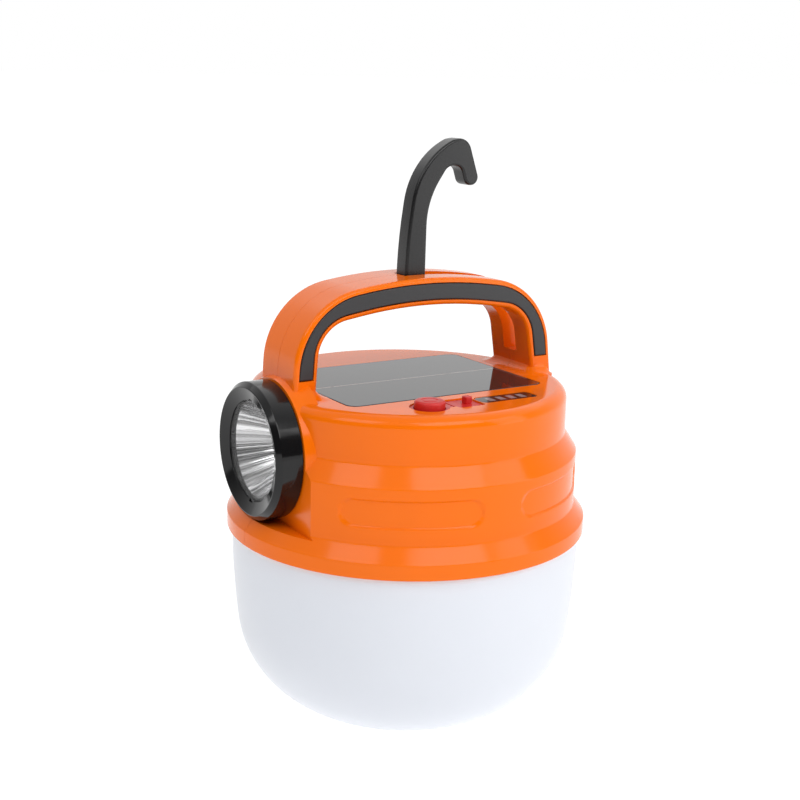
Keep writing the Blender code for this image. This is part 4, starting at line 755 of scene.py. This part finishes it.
def dome_profile(wall, counts):
    """Points from the rim down to the flat, a wall's thickness inside the outer face."""
    corner_drop = DOME_CORNER_R * (sin(DOME_CAP_HEADING) - sin(DOME_LEAN))
    corner_run = DOME_CORNER_R * (cos(DOME_LEAN) - cos(DOME_CAP_HEADING))
    side_share = (1 - cos(DOME_LEAN)) / sin(DOME_LEAN)
    side_drop = dome_depth - corner_drop
    for _ in range(20):      # the side's drop and the cap's radius follow from each other
        cap_r = (DOME_R - side_drop * side_share - corner_run) / cos(DOME_CAP_HEADING)
        cap_drop = cap_r * (sin(acos(DOME_FLAT_R / cap_r)) - sin(DOME_CAP_HEADING))
        side_drop = dome_depth - corner_drop - cap_drop
    side_r = side_drop / sin(DOME_LEAN)
    corner_x = DOME_R - side_drop * side_share - DOME_CORNER_R * cos(DOME_LEAN)
    corner_z = dome_depth - side_drop + DOME_CORNER_R * sin(DOME_LEAN)
    cap_r = (corner_x + DOME_CORNER_R * cos(DOME_CAP_HEADING)) / cos(DOME_CAP_HEADING)
    flat_heading = acos(DOME_FLAT_R / cap_r)
    arcs = [(DOME_R - side_r, dome_depth, side_r, 0, DOME_LEAN),
            (corner_x, corner_z, DOME_CORNER_R, DOME_LEAN, DOME_CAP_HEADING),
            (0, cap_r * sin(flat_heading), cap_r, DOME_CAP_HEADING, flat_heading)]
    points = []
    for (cx, cz, r, start, end), steps in zip(arcs, counts):
        for k in range(0 if not points else 1, steps + 1):
            heading = start + (end - start) * k / steps
            points.append((cx + (r - wall) * cos(heading), cz - (r - wall) * sin(heading)))
    return points


neck_r = BRIM_R - WALL - GAP
outside = [p for p in dome_profile(0, (10, 36, 6)) if p[1] < dome_depth - DOME_BEAD_H * 1.5]
inside = dome_profile(DOME_WALL, (8, 24, 4))
bead_fall = ((1, 1), (0.6, 1.15), (-0.1, 1.3))
bead = [(DOME_R + DOME_BEAD * out, dome_depth - DOME_BEAD_H * down) for out, down in bead_fall]
rim = [(neck_r - DOME_WALL, dome_top), (neck_r, dome_top), (neck_r, dome_depth),
       (DOME_R + DOME_BEAD, dome_depth)]
inside[-1] = (inside[-1][0], DOME_WALL)
bowl = [(0, DOME_WALL)] + inside[::-1] + rim + bead + outside + [(0, 0)]
dome = smooth(turned("opal_dome", bowl, DOME_STEPS))
opal = Finish("opal polycarbonate", roughness=0.28, subsurface_weight=0.35, subsurface_scale=0.006,
              subsurface_radius=(1.0, 1.0, 1.0))
point = opal.place()
height = opal.axes(point)[2]
clouds = opal.noise(point, 30.0, 3.0)
milk = opal.mixed(clouds, (0.77, 0.805, 0.885), (0.80, 0.835, 0.915))
painted_bounce = opal.span(height, dome_depth - ORANGE_BOUNCE_LOW, dome_depth - ORANGE_BOUNCE_HIGH)
# Just under the brim the opal's colour is mixed towards pink: painted orange light bounced from the brim, not
# a tint of the opal itself.
opal.shows(base_color=opal.mixed(painted_bounce * 0.7, milk, (0.93, 0.84, 0.87)))
opal.bump(opal.noise(point, 900.0, 2.0), 0.000004)
dressed(dome, opal.material, "diffuser_dome")

# ---------------------------------------------------------------- handle grips
# Two bands of dark grey rubber, one on each face of the handle, pressed flush into a recess in the shells and
# glued. They run from pillar to pillar over the top and are cut off level at both ends.
GRIP_EDGE = 0.0005
GRIP_PROUD = 0.0002
rubber = moulded("grey grip rubber", (0.032, 0.032, 0.034), 0.36, 3200.0, 0.00001, 0.15,
                 specular_ior_level=0.4)
for name, node, side in (("front_grip", "grip_front", -1), ("rear_grip", "grip_rear", 1)):
    low, high = sorted((side * (handle_half - GRIP_RECESS + GAP), side * (handle_half + GRIP_PROUD)))
    grip = bevelled(plate(name, grip_outline(0), low, high, "Y"), GRIP_EDGE, 3)
    dressed(smooth(grip), rubber, node)

# ---------------------------------------------------------------- folding hook
# A flat hook of black glass-filled nylon on a steel pin across the handle. Its back follows the handle's own
# crown, so that it lies flush in the groove when it is folded, and all its edges are rounded by the mould.
HOOK_EDGE = 0.001
HOOK_SINK = 0.00035          # of its back below the handle's crown when it is folded
HOOK_FOOT_STEPS = 24
HOOK_BACK_X = 0.0155
HOOK_HEAD = ((0.0208, 0.0521, 0.0050), (0.0266, 0.0349, 0.0028), (0.0202, 0.0351, 0.0028),
             (0.0182, 0.0413, 0.003), (0.0132, 0.0427, 0.0042), (0.0045, 0.0299, 0.028))
PIN_BORE_R = 0.0016

crown_side = [(x, z) for x, z in rounded(handle_outer(HOOK_SINK), closed=False)
              if HOOK_HALF / 2 < x < HOOK_HEAD[0][1] - WELD]
hook_back = [(pivot_z - z, x) for x, z in crown_side if z > pivot_z - HOOK_BACK_X]
hook_head = rounded([(*hook_back[-1], 0), *HOOK_HEAD, (HOOK_HALF, 0, 0)], closed=False)
foot_turns = [pi * k / HOOK_FOOT_STEPS for k in range(1, HOOK_FOOT_STEPS)]
hook_foot = [(HOOK_HALF * cos(turn), -HOOK_HALF * sin(turn)) for turn in foot_turns]
hook_line = [(x, z + pivot_z) for x, z in [(-HOOK_HALF, 0)] + hook_back + hook_head[1:] + hook_foot]
hook = plate("black_hook", hook_line, -HOOK_THICK / 2, HOOK_THICK / 2, "Y")
bevelled(hook, HOOK_EDGE, 4, radians(60))
combined(hook, "DIFFERENCE", rod("bore", PIN_BORE_R, -OUTSIDE, OUTSIDE, (0, pivot_z), "Y"))
nylon = moulded("black nylon", (0.009, 0.009, 0.0095), 0.26, 2600.0, 0.000008, 0.2, specular_ior_level=0.4)
dressed(smooth(hook), nylon, "hook", body="hook")

# ---------------------------------------------------------------- torch bezel
# A ring of polished black ABS that screws its sleeve into the boss. Its side is straight, its front edge has
# a narrow bevel, and its face slopes in to the mouth, where two small notches take the assembly key.
BEZEL_FRONT_X = 0.0641
BEZEL_CHAMFER = 0.0018
BEZEL_MOUTH_R = 0.0174
BEZEL_MOUTH_SINK = 0.0018
SPIGOT_WALL = 0.0011
SPIGOT_LENGTH = 0.0053
LENS_LIP = 0.0005
NOTCH_WIDTH = 0.0026
NOTCH_CORNER_R = 0.0003
BEZEL_EDGE = 0.0005
BEZEL_BACK_EDGE = 0.0004
BEZEL_MOUTH_EDGE = 0.0002
seat_x = TORCH_FLAT_X + GAP
mouth_x = BEZEL_FRONT_X - BEZEL_MOUTH_SINK
lip_x = mouth_x - LENS_LIP
sleeve_r = SPIGOT_R - SPIGOT_WALL
sleeve_x = TORCH_FLAT_X - SPIGOT_LENGTH
bezel_line = rounded([(SPIGOT_R, sleeve_x, 0), (SPIGOT_R, seat_x, 0), (BEZEL_R, seat_x, BEZEL_BACK_EDGE),
                      (BEZEL_R, BEZEL_FRONT_X - BEZEL_CHAMFER, BEZEL_EDGE),
                      (BEZEL_R - BEZEL_CHAMFER, BEZEL_FRONT_X, BEZEL_EDGE),
                      (BEZEL_MOUTH_R, mouth_x, BEZEL_MOUTH_EDGE),
                      (BEZEL_MOUTH_R, lip_x, 0), (sleeve_r, lip_x, 0), (sleeve_r, sleeve_x, 0)])
bezel = turned("black_bezel", bezel_line + bezel_line[:1], TORCH_STEPS, torch=True)
for rise in (-BEZEL_MOUTH_R, BEZEL_MOUTH_R):
    notch = rectangle(0, torch_z + rise, NOTCH_WIDTH, NOTCH_WIDTH / 2, NOTCH_CORNER_R)
    combined(bezel, "DIFFERENCE", plate("notch", notch, -OUTSIDE, -lip_x - LENS_LIP / 2, "X"))
black = moulded("polished black plastic", (0.006, 0.006, 0.0065), 0.1, 1500.0, 0.000002, 0.2,
                specular_ior_level=0.35)
dressed(smooth(bezel), black, "torch_bezel")

# ---------------------------------------------------------------- torch lens and reflector
# A clear acrylic disc held by the bezel's lip, and behind it a bowl plated like a mirror, with a small land
# round its mouth. The lamp's chip stands in the hole at the bottom of the bowl.
LENS_THICK = 0.0013
LENS_EDGE = 0.0003
REFLECTOR_WALL = 0.0011
REFLECTOR_FOCUS = 0.004
REFLECTOR_HOLE_R = 0.0034
REFLECTOR_RIM = 0.0012
REFLECTOR_RINGS = 40
fit_r = sleeve_r - GAP
lens_x = lip_x - GAP
lens_line = rounded([(0, lens_x - LENS_THICK, 0), (fit_r, lens_x - LENS_THICK, LENS_EDGE),
                     (fit_r, lens_x, LENS_EDGE), (0, lens_x, 0)], closed=False)
lens = smooth(turned("clear_lens", lens_line, TORCH_STEPS, torch=True))
clear = Finish("clear acrylic", base_color=(1.0, 1.0, 1.0, 1.0), alpha=0.06, coat_weight=0.0)
dust = clear.noise(clear.place(), 400.0, 4.0)
clear.shows(roughness=clear.span(dust, 0.3, 0.8, 0.01, 0.09))
clear.material.surface_render_method = "BLENDED"
dressed(lens, clear.material, "torch_lens")

rim_x = lens_x - LENS_THICK - GAP
rim_r = fit_r - REFLECTOR_WALL
vertex_x = rim_x - rim_r ** 2 / (4 * REFLECTOR_FOCUS)
bowl_width = rim_r - REFLECTOR_HOLE_R
radii = [REFLECTOR_HOLE_R + bowl_width * k / REFLECTOR_RINGS for k in range(REFLECTOR_RINGS + 1)]
mirror = [(r, vertex_x + r ** 2 / (4 * REFLECTOR_FOCUS)) for r in radii]
mirror_back = [(r + REFLECTOR_WALL, x - REFLECTOR_WALL / 2) for r, x in mirror[:-1]]
mirror_line = mirror + [(fit_r, rim_x), (fit_r, rim_x - REFLECTOR_RIM)] + mirror_back[::-1]
reflector = smooth(turned("mirror_bowl", mirror_line + mirror_line[:1], TORCH_STEPS, torch=True))
chrome = Finish("plated mirror", metallic=1.0)
point = chrome.place()
_, across_y, across_z = chrome.axes(point)
around = chrome.node("ShaderNodeMath", {0: across_z - torch_z, 1: across_y}, operation="ARCTAN2")
ray = chrome.node("ShaderNodeCombineXYZ", {"X": around * 1.6})
# Radial streaks run from dark to light in the mirror's colour: painted reflections of the room. The same
# streaks also give its surface fine ridges.
ridges_and_painted_streaks = chrome.noise(ray, 4.0, 4.0)
specks = chrome.noise(point, 700.0, 3.0)
painted_reflection_share = chrome.span(ridges_and_painted_streaks, 0.42, 0.58)
chrome.shows(base_color=chrome.mixed(painted_reflection_share, (0.2, 0.2, 0.2), (0.8, 0.8, 0.81)))
chrome.shows(roughness=chrome.span(specks, 0.4, 0.8, 0.03, 0.12))
chrome.bump(ridges_and_painted_streaks, 0.0006)
dressed(reflector, chrome.material, "torch_reflector")

# ---------------------------------------------------------------- solar panel
# A laminated cell under clear polyester, pressed into its pocket in the deck. One printed conductor runs
# along it between two dark cells, with fine collector lines across them and a black margin all round.
PANEL_EDGE = 0.00025
PANEL_MARGIN = 0.0011
COLLECTOR_PITCH = 0.0021
COLLECTOR_WIDTH = 0.00012
CONDUCTOR_Y = 0.0006
CONDUCTOR_WIDTH = 0.00034
panel_line = seen_from_above(panel_low, panel_high, 0, PANEL_CORNER_R)
panel = bevelled(plate("solar_cell_plate", panel_line, panel_low.z, panel_high.z), PANEL_EDGE, 3)
cell = Finish("laminated cell", coat_weight=1.0, coat_roughness=0.02, specular_ior_level=0.0)
point = cell.place()
x, y, _ = cell.axes(point)
panel_middle = (panel_low + panel_high) / 2
panel_size = panel_high - panel_low
side_x = panel_size.x / 2 - PANEL_MARGIN
side_y = panel_size.y / 2 - PANEL_MARGIN
inside = (abs(x - panel_middle.x) < side_x) * (abs(y - panel_middle.y) < side_y)
stretched = cell.node("ShaderNodeMapping", {"Vector": point, "Scale": (1.0, 14.0, 1.0)})
brushed = cell.noise(stretched, 90.0, 4.0)
to_line = cell.node("ShaderNodeMath", {0: x, 1: COLLECTOR_PITCH}, operation="PINGPONG")
collector = to_line < COLLECTOR_WIDTH
conductor = abs(y - CONDUCTOR_Y) < CONDUCTOR_WIDTH / 2
gone = cell.noise(point, 120.0) > 0.62
silicon = cell.mixed(brushed, (0.006, 0.006, 0.007), (0.022, 0.021, 0.020))
lined = cell.mixed(collector * 0.35, silicon, (0.07, 0.068, 0.066))
tracked = cell.mixed(conductor * (1 - gone * 0.6), lined, (0.62, 0.57, 0.53))
cell.shows(base_color=cell.mixed(inside, (0.006, 0.006, 0.007), tracked))
cell.shows(roughness=cell.span(brushed, 0.3, 0.7, 0.3, 0.45))
cell.bump(cell.noise(point, 350.0, 2.0), 0.00001)
dressed(smooth(panel), cell.material, "solar_panel")

# ---------------------------------------------------------------- push button
# A cap of red silicone with a fine ring pressed into its top, on a stem that presses the switch below the
# deck. Silicone of the control pad lies round it in the same pocket.
BUTTON_R = 0.0052
BUTTON_EDGE = 0.0008
BUTTON_SOFT_EDGE = 0.0001
BUTTON_SKIRT_EDGE = 0.0002
BUTTON_STEM_R = 0.002
BUTTON_STEPS = 96
BUTTON_RING_R = 0.0026
BUTTON_RING_DEPTH = 0.00016
BUTTON_RING_HALF = 0.00018
SKIRT_RISE = 0.0009          # underside of the cap's disc above the pocket's floor
cap_low, cap_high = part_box("button_cap")
cap_skirt = pocket_z + SKIRT_RISE
ring_z = cap_high.z - BUTTON_RING_DEPTH
cap_line = rounded([(0, cap_low.z, 0), (BUTTON_STEM_R, cap_low.z, 0), (BUTTON_STEM_R, cap_skirt, 0),
                    (BUTTON_R, cap_skirt, BUTTON_SKIRT_EDGE), (BUTTON_R, cap_high.z, BUTTON_EDGE),
                    (BUTTON_RING_R + BUTTON_RING_HALF * 2, cap_high.z, BUTTON_SOFT_EDGE),
                    (BUTTON_RING_R + BUTTON_RING_HALF, ring_z, BUTTON_SOFT_EDGE),
                    (BUTTON_RING_R - BUTTON_RING_HALF, ring_z, BUTTON_SOFT_EDGE),
                    (BUTTON_RING_R - BUTTON_RING_HALF * 2, cap_high.z, BUTTON_SOFT_EDGE), (0, cap_high.z, 0)],
                   closed=False)
cap = turned("red_button", cap_line, BUTTON_STEPS)
only(cap)
cap.location = (BUTTON_X, CONTROL_Y, 0)
bpy.ops.object.transform_apply(location=True, rotation=False, scale=False)
red = moulded("red silicone", (0.62, 0.018, 0.016), 0.36, 2600.0, 0.00001, 0.08)
dressed(smooth(cap), red, "button_cap", body="button")

# ---------------------------------------------------------------- control pad and port cover
# The same red silicone lies round the button and runs through the neck to the charging port's cover. The
# cover hinges on the neck, has a plug underneath, and is pulled open by its square peg.
SILICONE_EDGE = 0.0002
PEG_SHIFT = 0.0011
PEG_SIDE = 0.0028
PEG_CORNER_R = 0.0006
PEG_EDGE = 0.0004
PLUG_LENGTH = 0.0088
PLUG_WIDTH = 0.0036
PLUG_CORNER_R = 0.0008
pad_low, pad_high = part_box("silicone_pad")
pad = rod("red_pad", POCKET_R - GAP, pad_low.z, pad_high.z, (BUTTON_X, CONTROL_Y), steps=BUTTON_STEPS)
neck_end = cover_x0 - GAP
neck = rectangle((BUTTON_X + neck_end) / 2, CONTROL_Y, neck_end - BUTTON_X, NECK_WIDTH - 2 * GAP)
combined(pad, "UNION", plate("neck", neck, pad_low.z, pad_high.z))
hole = rod("hole", BUTTON_R + GAP, 0, OUTSIDE * 2, (BUTTON_X, CONTROL_Y), steps=BUTTON_STEPS)
combined(pad, "DIFFERENCE", hole)
dressed(smooth(bevelled(pad, SILICONE_EDGE, 2)), red, "silicone_pad")

cover_low, cover_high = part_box("port_cover")
cover_line = rectangle(port_x, CONTROL_Y, COVER_LENGTH - 2 * GAP, COVER_WIDTH - 2 * GAP, COVER_CORNER_R)
cover = bevelled(plate("red_port_cover", cover_line, pad_low.z, pad_high.z), SILICONE_EDGE, 2)
peg_line = rectangle(port_x + PEG_SHIFT, CONTROL_Y, PEG_SIDE, PEG_SIDE, PEG_CORNER_R)
peg = bevelled(plate("peg", peg_line, pad_high.z - GAP, cover_high.z), PEG_EDGE, 3)
plug_line = rectangle(port_x, CONTROL_Y, PLUG_LENGTH, PLUG_WIDTH, PLUG_CORNER_R)
plug = bevelled(plate("plug", plug_line, cover_low.z, pad_low.z + GAP), SILICONE_EDGE, 2)
combined(cover, "UNION", peg, plug)
dressed(smooth(cover), red, "port_cover", body="port_cover")

# ---------------------------------------------------------------- charge indicator
# A smoked acrylic window let into the deck. Four frosted bars behind it show how full the cells are.
BARS = 4
BAR_PITCH = 0.0043
BAR_X = 0.0024
BAR_Y = 0.0042
BAR_SOFT_X = 0.0002
BAR_SOFT_Y = 0.0003
WINDOW_EDGE = 0.00015
window_line = seen_from_above(window_low, window_high, 0, WINDOW_CORNER_R - GAP)
window = bevelled(plate("smoked_window", window_line, window_low.z, window_high.z), WINDOW_EDGE, 2)
smoke = Finish("smoked acrylic", coat_weight=0.25, coat_roughness=0.03, specular_ior_level=0.1)
point = smoke.place()
x, y, _ = smoke.axes(point)
window_middle = (window_low + window_high) / 2
first_bar = window_middle.x - BAR_PITCH * BARS / 2
phase = smoke.node("ShaderNodeMath", {0: x - first_bar, 1: BAR_PITCH, 2: 0.0}, operation="WRAP")
from_bar = abs(phase - BAR_PITCH / 2)
across = smoke.span(from_bar, BAR_X / 2 - BAR_SOFT_X, BAR_X / 2 + BAR_SOFT_X, 1.0, 0.0)
along = smoke.span(abs(y - window_middle.y), BAR_Y / 2 - BAR_SOFT_Y, BAR_Y / 2 + BAR_SOFT_Y, 1.0, 0.0)
within = abs(x - window_middle.x) < BAR_PITCH * BARS / 2
mottle = smoke.noise(point, 500.0, 2.0)
lit = across * along * within * smoke.span(mottle, 0.3, 0.7, 0.75, 1.0)
smoke.shows(base_color=smoke.mixed(lit, (0.012, 0.009, 0.009), (0.34, 0.27, 0.28)))
smoke.shows(roughness=smoke.span(mottle, 0.3, 0.7, 0.12, 0.2))
dressed(smooth(window), smoke.material, "indicator_window")

# ---------------------------------------------------------------- lamp of the torch and pieces inside
# What is inside stays as the frame has it: plated screws and pin, boards, cells in blue wrap, moulded pieces,
# seals and leads. Each gets its own finish, and the torch's chip has a yellow phosphor under its clear lens.
PHOSPHOR_R = 0.0014
PHOSPHOR_EDGE_R = 0.0017


def metal(name, colour, roughness):
    """Plated or rolled metal with fine brushed lines."""
    finish = Finish(name, metallic=1.0)
    point = finish.place()
    stretched = finish.node("ShaderNodeMapping", {"Vector": point, "Scale": (1.0, 1.0, 12.0)})
    lines = finish.noise(stretched, 500.0, 3.0)
    finish.shows(base_color=finish.mixed(lines, tint(colour, 0.88), tint(colour, 1.08)))
    finish.shows(roughness=finish.span(lines, 0.3, 0.7, roughness * 0.8, roughness * 1.3))
    finish.bump(lines, 0.000005)
    return finish.material


led = Finish("lamp chip and its board", coat_weight=0.4, coat_roughness=0.05)
point = led.place()
x, y, z = led.axes(point)
from_axis = led.node("ShaderNodeMath", {0: y * y + (z - torch_z) * (z - torch_z), 1: 0.5}, operation="POWER")
phosphor = led.span(from_axis, PHOSPHOR_R, PHOSPHOR_EDGE_R, 1.0, 0.0)
mask = led.noise(point, 300.0, 2.0)
board = led.mixed(mask, (0.74, 0.74, 0.72), (0.82, 0.82, 0.8))
led.shows(base_color=led.mixed(phosphor, board, (0.85, 0.56, 0.06)))
led.shows(roughness=led.span(mask, 0.3, 0.7, 0.3, 0.4))

white_board = moulded("white solder mask", (0.78, 0.78, 0.76), 0.35)
green_board = moulded("green solder mask", (0.02, 0.13, 0.05), 0.3)
inner_black = moulded("black inner moulding", (0.03, 0.03, 0.03), 0.5)
steel = metal("zinc plated steel", (0.6, 0.6, 0.61), 0.3)
blue_wrap = moulded("blue cell wrap", (0.02, 0.1, 0.32), 0.25)
red_lead = moulded("red lead", (0.5, 0.02, 0.015), 0.4)
carried = {
    "torch_led_board": led.material,
    "lamp_led_board": white_board,
    "indicator_leds": white_board,
    "control_board": green_board,
    "tact_switch": inner_black,
    "tact_plunger": inner_black,
    "battery_holder": inner_black,
    "battery_cell_a": blue_wrap,
    "battery_cell_b": blue_wrap,
    "torch_heatsink": metal("pressed aluminium", (0.75, 0.76, 0.78), 0.35),
    "dome_gasket": moulded("grey seal", (0.55, 0.55, 0.53), 0.7),
    "torch_gasket": moulded("black seal", (0.02, 0.02, 0.02), 0.7),
    "solar_adhesive": moulded("foam adhesive", (0.6, 0.6, 0.57), 0.8),
    "base_plate": moulded("white inner moulding", (0.75, 0.75, 0.75), 0.45),
    "light_guide": moulded("frosted light guide", (0.7, 0.64, 0.66), 0.3),
    "lead_battery": red_lead,
    "lead_lamp": red_lead,
    "lead_torch": moulded("grey lead", (0.5, 0.5, 0.48), 0.4),
    "lead_solar": moulded("black lead", (0.015, 0.015, 0.015), 0.4),
}
for name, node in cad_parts.items():
    if node.hide_render:
        continue
    node.data.materials.clear()
    node.data.materials.append(carried.get(name, steel))   # screws, hook pin, contacts and charging socket
